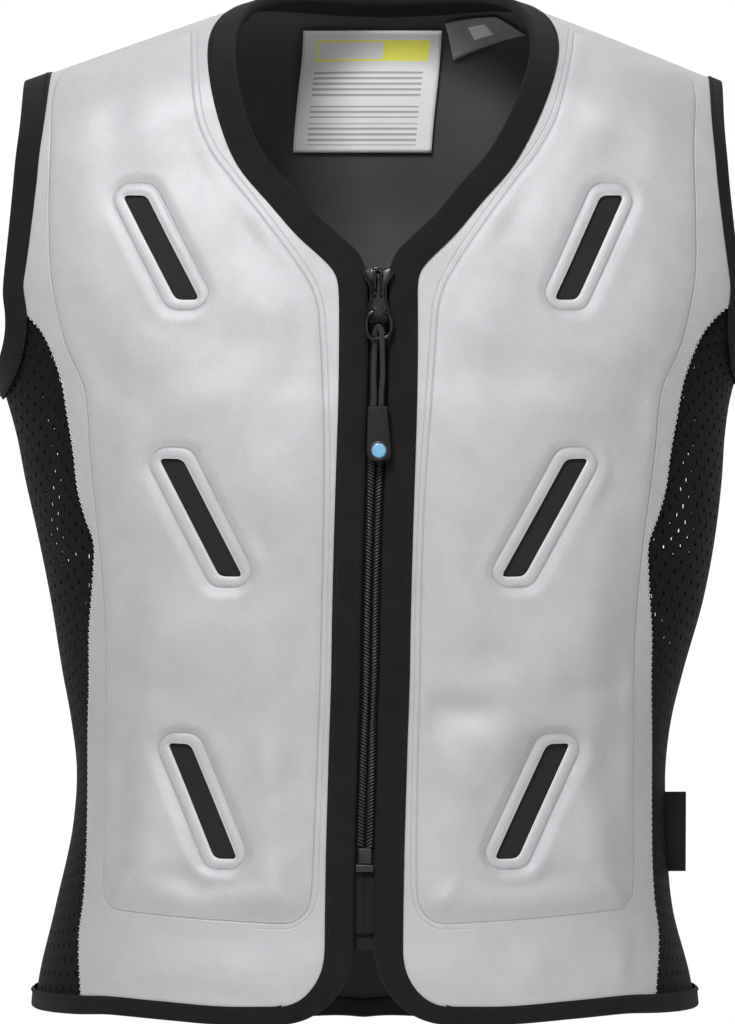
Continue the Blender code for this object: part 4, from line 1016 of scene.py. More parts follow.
def sweep_mesh(name, rings, look, closed=False):
    """A piece through a row of like rings, with its own lengths as UV map."""
    count, around = rings.shape[:2]
    index = np.arange(count * around).reshape(count, around)
    first, following = (index, np.roll(index, -1, axis=0)) if closed else (index[:-1], index[1:])
    faces = np.stack([first, np.roll(first, -1, axis=1), np.roll(following, -1, axis=1), following], axis=-1)
    faces = faces.reshape(-1, 4).tolist()
    along = lengths(rings[:, 0])
    along = np.append(along, along[-1] + np.linalg.norm(rings[0, 0] - rings[-1, 0]))
    across = np.append(0, np.cumsum(np.linalg.norm(np.roll(rings, -1, axis=1) - rings, axis=2).mean(axis=0)))
    row, column = np.indices(first.shape)
    wrap = np.stack([np.stack([along[row + down], across[column + over]], axis=-1)
                     for down, over in ((0, 0), (0, 1), (1, 1), (1, 0))], axis=2).reshape(-1, 2)
    if not closed:
        faces += [index[0].tolist(), index[-1].tolist()]
        wrap = np.vstack([wrap, np.zeros((2 * around, 2))])
    mesh = bpy.data.meshes.new(name)
    mesh.from_pydata(rings.reshape(-1, 3).tolist(), [], faces)
    mesh.uv_layers.new(name="cloth").data.foreach_set("uv", wrap.astype(np.float32).ravel())
    build = bmesh.new()
    build.from_mesh(mesh)
    bmesh.ops.recalc_face_normals(build, faces=build.faces)
    build.to_mesh(mesh)
    build.free()
    return smooth_piece(name, mesh, look, TAPE_SHARP)


def inward_of(edge):
    """Directions into the cloth along an edge line that has the cloth on its right."""
    tangent = unit(np.gradient(edge, axis=0))
    return np.stack([tangent[:, 1], -tangent[:, 0]], axis=-1)


def bands(width, parts):
    """Rings of one tape over edge lines on several forms."""
    return np.concatenate([band_rings(form, edge, inward, np.full(len(edge), width))
                           for form, edge, inward in parts])


def mirrored_torso(side, across, run):
    return torso(side * across, run)


def even(line):
    return spread(line, max(round(line_length(line) / BINDING_STEP), 2))


def ease(rings, closed, times=3):
    """Evens out neighbouring rings, which keeps the tape smooth where two patterns meet."""
    for _ in range(times):
        before = np.roll(rings, 1, axis=0)
        after = np.roll(rings, -1, axis=0)
        if not closed:
            before[0] = rings[0]
            after[-1] = rings[-1]
        rings = (before + 2 * rings + after) / 4
    return rings


def stitch_row(name, rings):
    """A row of sewn stitches along the outer face of a tape, near its inner edge."""
    outer_place = 1
    inner_place = 2 * len(INSETS) + FOLD_STEPS - 2
    line = rings[:, outer_place]
    steps = max(round(line_length(line) / STITCH_PITCH), 2)
    points = spread(line, steps)
    out = rings[:, outer_place] - rings[:, inner_place]
    at = np.linspace(0, len(rings) - 1, steps + 1).round().astype(int)
    row = beads(name, points, np.gradient(points, axis=0), out[at], STITCH_SIZE, thread_look, STITCH_LIFT)
    finish_piece(row, "binding")


def beads(name, points, along, out, size, look, lift=0.0):
    """Rounded beads with their length along a direction and their height outwards."""
    along = unit(along)
    out = unit(out - np.sum(out * along, axis=1, keepdims=True) * along)
    sideways = np.cross(out, along)
    turns = np.stack([np.arctan2(along[:, 2], out[:, 2]), -np.arcsin(np.clip(sideways[:, 2], -1, 1)),
                      np.arctan2(sideways[:, 1], sideways[:, 0])], axis=-1)
    made = new_piece(name, points + out * lift, [], look)
    stored = made.data.attributes.new("turn", "FLOAT_VECTOR", "POINT")
    stored.data.foreach_set("vector", turns.astype(np.float32).ravel())
    growth = Growth("beads", Length=float(size[0]), Width=float(size[1]), Height=float(size[2]),
                    Finish=look.material)
    ball = growth.node("GeometryNodeMeshUVSphere", {}, {"Segments": 8, "Rings": 5, "Radius": 0.5})
    sizes = growth.node("ShaderNodeCombineXYZ", {},
                        {0: growth.start["Width"], 1: growth.start["Length"], 2: growth.start["Height"]})
    bead = growth.node("GeometryNodeTransform", {}, {"Geometry": ball, "Scale": sizes})
    turn = growth.node("GeometryNodeInputNamedAttribute", {"data_type": "FLOAT_VECTOR"}, {"Name": "turn"})
    rotation = growth.node("FunctionNodeEulerToRotation", {}, {0: turn})
    points_of = growth.node("GeometryNodeMeshToPoints", {}, {"Mesh": growth.start["Geometry"]})
    strewn = growth.node("GeometryNodeInstanceOnPoints", {},
                         {"Points": points_of, "Instance": bead, "Rotation": rotation})
    growth.grow(made, strewn)
    made.data.shade_smooth()
    return made


binding_look = Look("black_binding", Roughness=0.85, Specular_IOR_Level=0.2, Sheen_Weight=0.02)
tape_along, tape_across = binding_look.along_cloth()
twill = ((tape_along + tape_across * 0.8) / 0.8).wave()
fuzz = binding_look.noise(0.7 * MM, 2)
ripple = binding_look.noise(12 * MM, 2)
binding_look.tone(0.35 + twill * 0.12 + (fuzz - 0.5) * 0.8 + (ripple - 0.5) * 0.6,
                  (0.0035, 0.0035, 0.0042), (0.0125, 0.0125, 0.0138))
binding_look.relief(twill * 0.08 + fuzz * 0.10 + ripple * 0.8)

thread_look = Look("black_thread", Roughness=0.6, Specular_IOR_Level=0.3)
thread_look.clouded(2 * MM, (0.004, 0.004, 0.0045), (0.012, 0.012, 0.013))

half_route = join(neck_edge, np.array([neck_edge[-1], foot_corner[0]]), foot_corner)
route = even(join(half_route[::-1] * (-1, 1), half_route))
from_foot = np.minimum(np.arange(len(route)), np.arange(len(route))[::-1]) * BINDING_STEP
widths = HEM_BAND + (NECK_BAND - HEM_BAND) * smooth_rise(from_foot, line_length(foot_corner))
from_corner = np.linalg.norm(np.abs(route) - (ZIP_HALF_GAP, NECK_FRONT_RUN), axis=1)
outer = route + inward_of(route) * widths[:, None]
kernel = np.exp(-(np.arange(-CORNER_SPAN, CORNER_SPAN + 1) * BINDING_STEP / CORNER_ROUND) ** 2 / 2)
kernel /= kernel.sum()
rounded = np.stack([np.convolve(np.pad(values, CORNER_SPAN, mode="edge"), kernel, "valid")
                    for values in outer.T], axis=-1)
nearness = np.exp(-(from_corner / CORNER_REACH) ** 4)[:, None]
reach = outer + (rounded - outer) * nearness - route
widths = np.linalg.norm(reach, axis=1)
neck_rings = ease(band_rings(torso, route, reach / widths[:, None], widths), False)
finish_piece(sweep_mesh("neck_tape", neck_rings, binding_look), "binding", "neck_binding")
stitch_row("neck_stitches", neck_rings)

hem_rings = []
for side in (1, -1):
    front_part = even(np.vstack([front_hem[:1] - (HEM_OVERLAP, 0), front_hem]))
    under = flank_pattern(side, *TAPE_PATTERN)[-1][1:-1]
    back_part = even(back_hem)
    hem_rings.append(bands(HEM_BAND, [
        (torso, front_part * (side, 1), inward_of(front_part) * (side, 1)),
        (partial(flank, side), under, np.tile([0.0, 1.0], (len(under), 1))),
        (torso, back_part * (side, -1), inward_of(back_part * (1, -1)) * (side, 1)),
    ]))
whole_hem = ease(np.concatenate([hem_rings[0], hem_rings[1][-2::-1]]), False)
finish_piece(sweep_mesh("hem_tape", whole_hem, binding_look), "binding", "hem_binding")
stitch_row("hem_stitches", whole_hem)

for side, label in SIDES:
    over = armhole_edge[armhole_edge[:, 1] > 0]
    over = even(join(over[::-1], over * (1, -1)))
    under = flank_pattern(side, *TAPE_PATTERN)[0][-2:0:-1]
    down_inward = inward_of(under * (FRONT_DEPTH, 1))
    down_inward *= -np.sign(down_inward[len(under) // 2, 1])
    rings = bands(ARMHOLE_BANDS[side], [(partial(mirrored_torso, side), over, inward_of(over)),
                                        (partial(flank, side), under, down_inward / (FRONT_DEPTH, 1))])
    rings = ease(rings, True)
    tape = sweep_mesh(f"armhole_tape_{label}", rings, binding_look, closed=True)
    finish_piece(tape, "binding", f"armhole_binding_{label}")
    stitch_row(f"armhole_stitches_{label}", rings)


# Side seams: the silver cloth is laid over the side knit and sewn down along its cut edge with a fine zigzag in
# light grey thread, so that its edge shows as a pale, slightly ragged line.
ZIGZAG_PITCH = 1.5 * MM
ZIGZAG_SIZE = (2.2 * MM, 0.7 * MM, 0.6 * MM)
SEAM_IN = 0.5 * MM
SEAM_LEVEL = PANEL_FOOT + 0.6 * SHEET
pale_thread_look = Look("pale_thread", Roughness=0.6)
pale_thread_look.clouded(2 * MM, (0.42, 0.43, 0.44), (0.66, 0.67, 0.68))
for face, seam, turn in (("front", front_seam, 1), ("back", back_seam, -1)):
    for side, label in SIDES:
        line = spread(seam, round(line_length(seam) / ZIGZAG_PITCH))[4:-4] + (SEAM_IN, 0)
        swing = np.where(np.arange(len(line)) % 2 == 0, 1, -1)[:, None]
        points, out = surface(torso, side * line[:, 0], turn * line[:, 1])
        along = unit(np.gradient(points, axis=0))
        slanted = along * 0.75 + np.cross(out, along) * swing * 0.66
        zigzag = beads(f"{face}_zigzag_{label}", points + out * SEAM_LEVEL, slanted, out, ZIGZAG_SIZE,
                       pale_thread_look)
        finish_piece(zigzag, "silver")


# Zip: a nylon coil zip on woven tapes, sewn behind the centre front edges and closed to the top. Each coil
# shows as a row of slanted turns, and the two rows mesh in a herringbone. It ends in a moulded box, and a knit
# guard is sewn behind it on one side.
ZIP_TOP = 120 * MM
COIL_BOTTOM = 398 * MM
ZIP_END = 440 * MM
TURN_PITCH = 1.6 * MM
TURN_SIZE = (4.3 * MM, 1.15 * MM, 1.9 * MM)
TURN_SLANT = math.radians(28)
TURN_MIDDLE = 2.15 * MM
ZIP_TAPE_WIDTH = 16 * MM
ZIP_TAPE = 0.7 * MM
TAPE_FACE = -SLOT_CLEAR - TAPE_WALL - LAYER_GAP
TAPE_BACK = TAPE_FACE - ZIP_TAPE
COIL_FOOT = TAPE_FACE + 0.3 * MM
COIL_RISE = 2.8 * MM
GUARD_HALF = 14 * MM
GUARD_BOTTOM = 448 * MM
GUARD_OVER = 5 * MM
GUARD_LAP = 4 * MM
GUARD_FACE = TAPE_BACK - 1.6 * MM
STRIP_STEP = 4 * MM
MIDDLE_GAP = 0.15 * MM
MOULD_SHARP = math.radians(40)
BOX_LENGTH = 12 * MM
# Blocks of the box in millimetres: width, depth, height, then place across, upwards and outwards, and rounding
BOX_BLOCKS = [(6.48, 2.2, 7.44, 0, -4.2, 0, 0.5), (9, 2.6, 3.6, 0, -10.2, 0.1, 0.6),
              (1.4, 2.9, 6, -2.3, -4.5, 0.2, 0.4)]


def zip_place(x, down, n):
    """Points of the zip: x across, down from the shoulder, n outwards from the lining's inner face."""
    x, down, n = np.broadcast_arrays(np.asarray(x, float), np.asarray(down, float), np.asarray(n, float))
    points, out = surface(torso, x, run_at(x, -down))
    return points + n[..., None] * out


def zip_strip(name, top, bottom, outline, look):
    """A strip down the zip, with its section given as places across and outwards."""
    downs = np.linspace(top, bottom, round((bottom - top) / STRIP_STEP) + 1)
    outline = np.array(outline)
    rings = zip_place(outline[None, :, 0], downs[:, None], outline[None, :, 1])
    return sweep_mesh(name, rings, look)


tape_look = Look("zip_tape_weave", Roughness=0.85, Specular_IOR_Level=0.25)
tape_run, tape_wide = tape_look.along_cloth()
herring = (tape_run + abs(tape_wide - 4) * 0.9).wave()
tape_look.tone(0.4 + herring * 0.3, (0.007, 0.007, 0.008), (0.020, 0.020, 0.021))
tape_look.relief(herring * 0.12)

coil_look = Look("coil_nylon", Roughness=0.35, Specular_IOR_Level=0.6)
coil_look.clouded(3 * MM, (0.010, 0.010, 0.011), (0.030, 0.030, 0.031))

moulded_look = Look("moulded_black", Roughness=0.38)
moulded_look.clouded(4 * MM, (0.010, 0.010, 0.011), (0.022, 0.022, 0.023))
moulded_look.relief(moulded_look.noise(0.5 * MM) * 0.04)

for side, label in SIDES:
    near = side * MIDDLE_GAP
    far = side * ZIP_TAPE_WIDTH
    section = [(near, TAPE_BACK), (far, TAPE_BACK), (far, TAPE_FACE), (near, TAPE_FACE)]
    tape = zip_strip(f"zip_weave_{label}", ZIP_TOP, ZIP_END, section, tape_look)
    finish_piece(tape, "binding", f"zip_tape_{label}")
    first = ZIP_TOP + (0 if side < 0 else TURN_PITCH / 2)
    downs = np.arange(first, COIL_BOTTOM, TURN_PITCH)
    middle = zip_place(side * TURN_MIDDLE, downs, COIL_FOOT + COIL_RISE * 0.55)
    slope = unit(zip_place(0, downs - MM, 0) - zip_place(0, downs, 0))
    along = np.array([side * math.cos(TURN_SLANT), 0, 0]) + slope * math.sin(TURN_SLANT)
    out = normals(torso, np.zeros(len(downs)), run_at(0, -downs))
    turns = beads(f"coil_turns_{label}", middle, along, out, TURN_SIZE, coil_look)
    finish_piece(turns, "coil", f"zip_coil_{label}")

far = GUARD_HALF + GUARD_OVER
guard = zip_strip("guard_knit", ZIP_TOP - GUARD_LAP, GUARD_BOTTOM,
                  [(-GUARD_HALF, GUARD_FACE - MM), (0, GUARD_FACE - 1.2 * MM), (far, GUARD_FACE - MM),
                   (far, GUARD_FACE), (0, GUARD_FACE), (-GUARD_HALF, GUARD_FACE)], lining_look)
finish_piece(guard, "guard", "zip_guard")


def at_zip(frame, x, z, n):
    origin, across, up, out = frame
    return origin + x * across + z * up + n * out


def block(size, middle, frame, bevel):
    """A rounded block in a frame, by its width, depth and height and its place across, up and outwards."""
    build = bmesh.new()
    bmesh.ops.create_cube(build, size=1)
    for vertex in build.verts:
        vertex.co = [value * length for value, length in zip(vertex.co, size)]
    bmesh.ops.bevel(build, geom=build.edges[:], offset=bevel, segments=3, affect="EDGES", profile=0.6)
    for vertex in build.verts:
        x, n, z = vertex.co
        vertex.co = at_zip(frame, x + middle[0], z + middle[1], n + middle[2])
    bmesh.ops.recalc_face_normals(build, faces=build.faces)
    return build


def blocks(table, level, frame):
    """Rounded blocks from a table in millimetres, outwards from a level of a frame."""
    rows = np.array(table) * MM
    return [block(row[:3], (row[3], row[4], row[5] + level), frame, float(row[6])) for row in rows]


def merged(name, builds, look):
    """One piece made of several closed meshes."""
    whole = bmesh.new()
    for build in builds:
        part = bpy.data.meshes.new("part")
        build.to_mesh(part)
        build.free()
        whole.from_mesh(part)
        bpy.data.meshes.remove(part)
    mesh = bpy.data.meshes.new(name)
    whole.to_mesh(mesh)
    whole.free()
    return smooth_piece(name, mesh, look, MOULD_SHARP)


def zip_frame(top, bottom):
    origin = zip_place(0, top, 0)
    up = unit(origin - zip_place(0, bottom, 0))
    across = unit(np.array([1.0, 0, 0]) - up[0] * up)
    return origin, across, up, np.cross(across, up)


box_frame = zip_frame(COIL_BOTTOM, COIL_BOTTOM + BOX_LENGTH)
box = merged("bottom_box", blocks(BOX_BLOCKS, COIL_FOOT + 1.2 * MM, box_frame), moulded_look)
finish_piece(box, "plastic", "zip_box")


# Slider and pull: a black slider with a waisted body, two wings at its top and a bridge of two bars, a wire
# bail in its lug, and a braided cord looped through the bail into a moulded end with a blue inlaid disc.
SLIDER_LENGTH = 27 * MM
SLIDER_PLATE = 1.5 * MM
SLIDER_POST = 3 * MM
SLIDER_CLEAR = 0.6 * MM
SLIDER_ROUND = 0.4 * MM
BACK_PLATE = (12.4 * MM, MM, 0.8 * SLIDER_LENGTH)
BACK_PLATE_LEVEL = TAPE_BACK - 0.8 * MM
LUG_DOWN = 22 * MM
BAIL_LENGTH = 12 * MM
BAIL_WIRE = 0.8 * MM
BAIL_CLEAR = 0.3 * MM
CORD_RADIUS = 1.2 * MM
CORD_CLEAR = 0.4 * MM
CORD_SPREAD = 1.7 * MM
CORD_DROP = 66 * MM
PULL_LENGTH = 26.6 * MM
PULL_THICK = 4.6 * MM
PULL_TURN = math.radians(3.5)
PULL_ROUND = 0.9 * MM
DISC_DOWN = 21.4 * MM
DISC_SIDES = 40
RIM_WIRE = 0.55 * MM
RIM_IN = 0.93
RIM_OUT = 0.1 * MM
BAR_WIRE = 0.62 * MM
BAIL_RADIUS = 1.15 * MM
# A direction that no tube runs along, from which its rings are turned
RING_START = np.array([0.0, -1.0, 0.05])
# Half outline of the slider's face: across and down in millimetres
SLIDER_OUTLINE = [(1.6, 0.0), (3.0, 1.6), (5.0, 1.2), (6.6, 0.6), (7.6, 1.8), (7.2, 4.2), (5.6, 6.6), (4.3, 9.0),
                  (3.8, 12.0), (3.9, 15.0), (4.6, 18.5), (5.7, 22.5), (6.2, 25.0), (5.4, 26.6), (0.0, 27.0)]
# One bar of the slider's bridge: across and down from its top, and out from the plate, in millimetres
BRIDGE = [(1.5, 0.8, 0), (1.5, 1.6, 2.2), (1.5, 6, 2.6), (1.5, 12, 2.2), (1.6, 14.5, 0)]
# Blocks on the slider's plate, the bridge and the lug, in millimetres as in BOX_BLOCKS
PLATE_BLOCKS = [(4.2, 1.2, 1.8, 0, -1.4, 1.9, 0.4), (1.3, 3.2, 4.2, -1.75, -22, 1.2, 0.45),
                (1.3, 3.2, 4.2, 1.75, -22, 1.2, 0.45), (4.6, 0.9, 4.2, 0, -22, 2.9, 0.3)]
# Bail: millimetres across, and share of the way down
BAIL = [(-3.2, 0.0), (3.2, 0.0), (5.0, 0.16), (6.0, 0.45), (5.7, 0.78), (3.6, 1.0), (0, 1.03), (-3.6, 1.0),
        (-5.7, 0.78), (-6.0, 0.45), (-5.0, 0.16), (-3.2, 0.0)]
# Radius and height of the disc and its rim, in millimetres
DISC = [(0.05, 0.75), (2.6, 0.75), (3.3, 0.65), (3.55, 0.3), (3.55, -0.2)]
DISC_RIM = [(3.6, -0.3), (3.6, 0.55), (3.9, 0.75), (4.4, 0.6), (4.6, -0.2)]
# Half outline of the pull in millimetres, across and down
PULL_OUTLINE = [(4.7, 0.0), (5.05, 6.0), (5.4, 12.0), (5.75, 18.0), (5.95, 21.5), (5.7, 23.8), (4.7, 25.6),
                (3.2, 26.4), (0.0, 26.6)]

slider_top = ZIP_TOP - SLIDER_POST - SLIDER_CLEAR
slider_frame = zip_frame(slider_top, slider_top + SLIDER_LENGTH)
plate_foot = TAPE_UNDER + MM + TAPE_WALL + SLIDER_CLEAR
post_foot = COIL_FOOT + COIL_RISE
plate_top = plate_foot + SLIDER_PLATE
bar_level = plate_top + BAIL_CLEAR + BAIL_WIRE


def plate(outline, low, high, frame, bevel):
    """A flat plate from a half outline, with rounded rims."""
    line = smooth_line(outline, 4)
    whole = np.vstack([line, line[-2::-1] * (-1, 1)])
    build = bmesh.new()
    face = build.faces.new([build.verts.new(at_zip(frame, x * MM, -z * MM, low)) for x, z in whole])
    raised = bmesh.ops.extrude_face_region(build, geom=[face])["geom"]
    top = [item for item in raised if isinstance(item, bmesh.types.BMVert)]
    bmesh.ops.translate(build, verts=top, vec=Vector(frame[3] * (high - low)))
    bmesh.ops.recalc_face_normals(build, faces=build.faces)
    rims = [edge for edge in build.edges if edge.verts[0] in top and edge.verts[1] in top]
    bmesh.ops.bevel(build, geom=rims, offset=bevel, segments=2, affect="EDGES", profile=0.5)
    return build


def ring_turns(count):
    return np.arange(count) * 2 * math.pi / count


def tube_rings(line, radius, closed=False, sides=12):
    """Round rings along a line of points."""
    line = np.asarray(line, float)
    around = np.roll(line, -1, axis=0) - np.roll(line, 1, axis=0)
    tangent = unit(around if closed else np.gradient(line, axis=0))
    side = unit(np.cross(tangent, RING_START))
    other = np.cross(tangent, side)
    turns = ring_turns(sides)[None, :, None]
    return line[:, None] + radius * (np.cos(turns) * side[:, None] + np.sin(turns) * other[:, None])


def rail(route, radius, frame):
    """A round bar on a route given across and down in millimetres, and outwards."""
    line = smooth_line([at_zip(frame, x * MM, -z * MM, n) for x, z, n in route], 5)
    return tube_build(tube_rings(line, radius))


def tube_build(rings):
    build = bmesh.new()
    loops = [[build.verts.new(point) for point in ring] for ring in rings]
    for ring, after in zip(loops, loops[1:]):
        for index in range(len(ring)):
            follow = (index + 1) % len(ring)
            build.faces.new([ring[index], ring[follow], after[follow], after[index]])
    build.faces.new(loops[0])
    build.faces.new(loops[-1])
    bmesh.ops.recalc_face_normals(build, faces=build.faces)
    return build


slider_look = Look("slider_black", Roughness=0.2, Specular_IOR_Level=0.4)
slider_look.clouded(2 * MM, (0.0015, 0.0015, 0.0016), (0.005, 0.005, 0.0053))
parts = [plate(SLIDER_OUTLINE, plate_foot, plate_top, slider_frame, SLIDER_ROUND)]
for sign in (-1, 1):
    rim = [(x * sign * RIM_IN, z, plate_top + RIM_OUT) for x, z in SLIDER_OUTLINE[3:14]]
    bridge = [(x * sign, z, plate_top + n * MM) for x, z, n in BRIDGE]
    parts += [rail(rim, RIM_WIRE, slider_frame), rail(bridge, BAR_WIRE, slider_frame)]
parts += blocks(PLATE_BLOCKS, plate_top, slider_frame)
# The body over the coil, the plate behind it and the post between them
parts.append(block((8.6 * MM, plate_foot - post_foot, 0.9 * SLIDER_LENGTH),
                   (0, -0.47 * SLIDER_LENGTH, (plate_foot + post_foot) / 2 + 0.3 * MM), slider_frame, 0.5 * MM))
parts.append(block(BACK_PLATE, (0, -0.4 * SLIDER_LENGTH, BACK_PLATE_LEVEL), slider_frame, SLIDER_ROUND))
parts.append(block((SLIDER_POST, plate_foot - TAPE_BACK, SLIDER_POST),
                   (0, -1.8 * MM, (plate_foot + TAPE_BACK) / 2), slider_frame, SLIDER_ROUND))
finish_piece(merged("slider_body", parts, slider_look), "plastic", "zip_slider")

bar = at_zip(slider_frame, 0, -LUG_DOWN, bar_level)
loop_down = slider_top + LUG_DOWN + BAIL_LENGTH
bail_down = zip_place(0, loop_down, bar_level) - bar
bail_line = np.array([bar + slider_frame[1] * x * MM + bail_down * share
                      for x, share in smooth_line(BAIL, 5)[:-1]])
bail_line = spread(np.vstack([bail_line, bail_line[:1]]), 60)[:-1]
bail = sweep_mesh("bail_wire", tube_rings(bail_line, BAIL_RADIUS, True), slider_look, closed=True)
finish_piece(bail, "plastic", "zip_bail")

behind = bar_level - BAIL_WIRE - CORD_CLEAR - CORD_RADIUS
before = bar_level + BAIL_WIRE + CORD_CLEAR + CORD_RADIUS
pull_top = slider_top + CORD_DROP
pull_level = plate_foot + PULL_THICK / 2
wide = CORD_SPREAD
# Route of the cord up behind the bail, over it and down in front: across, down and outwards
cord_route = [(-wide, pull_top + MM, pull_level), (-wide, pull_top - 6 * MM, pull_level),
              (-wide * 1.2, loop_down + 18 * MM, (pull_level + behind) / 2),
              (-wide, loop_down + 7 * MM, behind), (-wide, loop_down, behind),
              (-wide * 0.6, loop_down - 4 * MM, behind + MM), (0, loop_down - 5.4 * MM, bar_level),
              (wide * 0.6, loop_down - 4 * MM, before - MM), (wide, loop_down, before),
              (wide * 1.1, loop_down + 8 * MM, before - 2 * MM), (wide * 1.3, loop_down + 18 * MM, pull_level),
              (wide, pull_top - 6 * MM, pull_level), (wide, pull_top + MM, pull_level)]
cord_line = spread(smooth_line([zip_place(*place) for place in cord_route], 12), 150)
cord_look = Look("braided_cord", Roughness=0.7, Specular_IOR_Level=0.35, Sheen_Weight=0.05)
cord_run, cord_round = cord_look.along_cloth()
plait = ((cord_run + cord_round * 0.9) / 1.1).wave() * ((cord_run - cord_round * 0.9) / 1.1).wave()
cord_look.tone(0.5 + plait * 0.4, (0.010, 0.010, 0.011), (0.036, 0.036, 0.038))
cord_look.relief(plait * 0.22)
cord = sweep_mesh("braided_pull_cord", tube_rings(cord_line, CORD_RADIUS, sides=14), cord_look)
finish_piece(cord, "cord", "pull_cord")

origin, across, up, out = zip_frame(pull_top, pull_top + PULL_LENGTH)
pull_frame = (origin, across * math.cos(PULL_TURN) + up * math.sin(PULL_TURN),
              up * math.cos(PULL_TURN) - across * math.sin(PULL_TURN), out)
pull_look = Look("soft_moulding", Roughness=0.6, Specular_IOR_Level=0.25)
pull_look.clouded(6 * MM, (0.0055, 0.0055, 0.006), (0.0095, 0.0095, 0.010))
pull_look.relief(pull_look.noise(0.4 * MM) * 0.05)
pull_face = pull_level + PULL_THICK / 2
pull_body = plate(PULL_OUTLINE, pull_level - PULL_THICK / 2, pull_face, pull_frame, PULL_ROUND)
finish_piece(merged("moulded_pull", [pull_body], pull_look), "plastic", "pull_end")


def turned_profile(name, profile, frame, look):
    """A round piece on the pull's face, turned from a profile of radius and height in millimetres."""
    rings = [[at_zip(frame, radius * MM * math.cos(turn), radius * MM * math.sin(turn) - DISC_DOWN,
                     pull_face + height * MM) for turn in ring_turns(DISC_SIDES)] for radius, height in profile]
    return sweep_mesh(name, np.array(rings), look)


disc_look = Look("blue_inlay", Roughness=0.3, Coat_Weight=0.4)
disc_look.clouded(3 * MM, (0.12, 0.32, 0.50), (0.16, 0.37, 0.56))
finish_piece(turned_profile("inlaid_disc", DISC, pull_frame, disc_look), "disc", "pull_disc")
finish_piece(turned_profile("disc_rim", DISC_RIM, pull_frame, moulded_look), "plastic")


# Labels: a woven neck label and a plain size tab are sewn inside the back neck, and a folded tab of binding tape
# is caught in the left side. The label has a yellow bar over plain grey lines, the size tab a pale square.
LABEL_HALF = 35.5 * MM
LABEL_MIDDLE = -6.5 * MM
LABEL_TOP = 1 * MM
LABEL_BOTTOM = 62 * MM
LABEL_THICK = 0.5 * MM
LABEL_CLEAR = 1.8 * MM
LABEL_COLUMNS = 36
LABEL_ROWS = 32
TAB_CLEAR = 1.2 * MM
TAB_COLUMNS = 14
TAB_ROWS = 12
# Corners of the size tab: shares of NECK_HALF across and of NECK_BACK_RUN along
SIZE_TAB = [(0.415, -1.18), (0.773, -0.67), (0.98, -0.88), (0.49, -1.77)]


def sewn_inside(name, pattern, clear, look, slot, node):
    """A label on the inner face of the back, with its own places from 0 to 1 as UV map."""
    rows, columns = pattern.shape[:2]
    points, out = surface(torso, pattern[..., 0], pattern[..., 1])
    share = np.stack(np.meshgrid(np.linspace(0, 1, columns), np.linspace(1, 0, rows)), axis=-1)
    faces = faces_outwards(points, grid_faces(rows, columns), out)
    made = new_piece(name, points - out * (clear + LABEL_THICK), faces, look, share)
    flat_area = area_of(made)
    thicken(made, LABEL_THICK)
    finish_piece(made, slot, node)
    return made, flat_area


label_look = Look("grey_label", Roughness=0.5, Sheen_Weight=0.1)
across_label, up_label = label_look.flat_place()


def window(value, low, high, soft=0.004):
    return value.rise(low - soft, low) * (1 - value.rise(high, high + soft))


bar_height = window(up_label, 0.75, 0.925)
bar_inner = window(across_label, 0.115, 0.895) * window(up_label, 0.768, 0.907)
bar_outline = window(across_label, 0.10, 0.91) * bar_height - bar_inner
yellow = bar_outline.maths("MAXIMUM", bar_outline, window(across_label, 0.58, 0.91) * bar_height)
lines = (up_label * 22).wave().rise(0.1, 0.4) * window(up_label, 0.06, 0.66) * window(across_label, 0.10, 0.88)
gaps = (1 - window(up_label, 0.38, 0.44)) * (1 - window(up_label, 0.24, 0.28))
threads = (across_label * 160).wave() * (up_label * 140).wave()
label_base = label_look.mix(0.5 + threads * 0.2 + (label_look.noise(20 * MM) - 0.5) * 0.6,
                            (0.74, 0.74, 0.745), (0.90, 0.90, 0.905))
label_base = label_look.mix(lines * gaps * 0.55, label_base, (0.08, 0.08, 0.085))
label_look.tone(yellow, label_base, (1.0, 0.97, 0.14))
label_look.relief(threads * 0.04)

label_across = np.linspace(LABEL_MIDDLE - LABEL_HALF, LABEL_MIDDLE + LABEL_HALF, LABEL_COLUMNS)
label_down = np.linspace(LABEL_TOP, -LABEL_BOTTOM, LABEL_ROWS)
cut = np.array([[(x, -float(run_at(x, height))) for x in label_across] for height in label_down])
label, _ = sewn_inside("woven_label", cut, LABEL_CLEAR, label_look, "label", "neck_label")

tab_look = Look("dark_size_tab", Roughness=0.6, Sheen_Weight=0.2)
tab_across, tab_up = tab_look.flat_place()
bar_mark = window(tab_across, 0.36, 0.64, 0.01) * window(tab_up, 0.30, 0.72, 0.01)
tab_base = tab_look.mix(tab_look.noise(5 * MM), (0.24, 0.24, 0.245), (0.34, 0.34, 0.345))
tab_look.tone(bar_mark, tab_base, (0.95, 0.95, 0.96))
tab_look.relief((tab_across * 60).wave() * 0.05)
corners = np.array([(x * NECK_HALF, run * NECK_BACK_RUN) for x, run in SIZE_TAB])
share = np.linspace(0, 1, TAB_COLUMNS)[:, None]
upper = corners[0] + share * (corners[1] - corners[0])
lower = corners[3] + share * (corners[2] - corners[3])
cut = np.array([upper + step * (lower - upper) for step in np.linspace(0, 1, TAB_ROWS)])
size_tab, tab_area = sewn_inside("plain_size_tab", cut, TAB_CLEAR, tab_look, "tab", "size_tab")

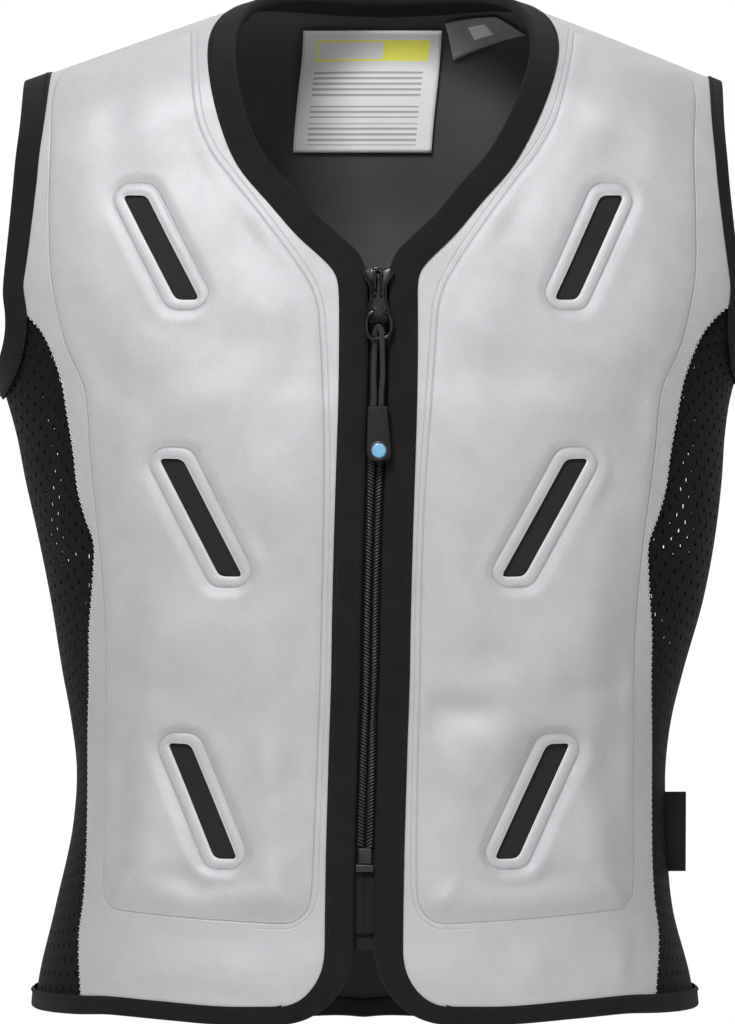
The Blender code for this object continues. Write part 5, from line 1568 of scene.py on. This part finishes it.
SIDE_TAB_HEIGHT = 40 * MM
SIDE_TAB_REACH = 11 * MM
SIDE_TAB_TOP = 380 * MM
SIDE_TAB_WALL = 0.8 * MM
SIDE_TAB_IN = 1.2 * MM
SIDE_TAB_ROUND = 0.3 * MM
tab_origin = flank(1, 0.1, -SIDE_TAB_TOP - SIDE_TAB_HEIGHT / 2)
tab_frame = (tab_origin, np.array([1.0, 0, 0]), np.array([0, 0, 1.0]), np.array([0, -1.0, 0]))
fold = block((SIDE_TAB_REACH, SIDE_TAB_WALL, SIDE_TAB_HEIGHT),
             (MESH + SIDE_TAB_REACH / 2 - SIDE_TAB_IN, 0, 0), tab_frame, SIDE_TAB_ROUND)
finish_piece(merged("folded_side_tab", [fold], binding_look), "binding", "side_tab")


# Floor and light: a round pale floor some way under the hem. The studio is bright behind the vest and dim
# before it. A key lamp stands high on the left of the front, weak ones on the right and in front, and one over
# the back.
FLOOR_LEVEL = -0.75
FLOOR_RADIUS = 1.5
FLOOR_SIDES = 96
LAMP_AIM = Vector((0, 0, -0.24))
# Lamps: place and width in metres, and power in watts
LAMPS = {"key": ((-0.45, -1.45, 1.2), 0.6, 46), "fill": ((1.9, -1.6, 0.5), 1.2, 9),
         "front": ((0.3, -2.4, 0.5), 1.6, 7), "top": ((0, 1.2, 2.0), 1.6, 12)}
STUDIO = {"From Min": 0.1, "From Max": 0.92, "To Min": 0.14, "To Max": 1.02}
floor_look = Look("pale_floor", Roughness=0.9, Base_Color=(0.90, 0.90, 0.90, 1))
floor = new_piece("floor", [(FLOOR_RADIUS * math.cos(turn), FLOOR_RADIUS * math.sin(turn), FLOOR_LEVEL)
                            for turn in ring_turns(FLOOR_SIDES)], [range(FLOOR_SIDES)], floor_look)
bpy.context.scene.view_settings.view_transform = "Standard"
world = bpy.data.worlds.new("studio")
world.use_nodes = True
studio = world.node_tree
background = studio.nodes["Background"]
direction = studio.nodes.new("ShaderNodeTexCoord")
split = studio.nodes.new("ShaderNodeSeparateXYZ")
studio.links.new(direction.outputs["Generated"], split.inputs[0])
behind_vest = studio.nodes.new("ShaderNodeMapRange")
behind_vest.interpolation_type = "SMOOTHSTEP"
for key, value in STUDIO.items():
    behind_vest.inputs[key].default_value = value
studio.links.new(split.outputs["Y"], behind_vest.inputs["Value"])
studio.links.new(behind_vest.outputs[0], background.inputs["Strength"])
background.inputs["Color"].default_value = (1, 1, 1, 1)
bpy.context.scene.world = world
for name, (place, size, power) in LAMPS.items():
    lamp = bpy.data.lights.new(name, "AREA")
    lamp.size = size
    lamp.energy = power
    aimed(name, lamp, place, LAMP_AIM)
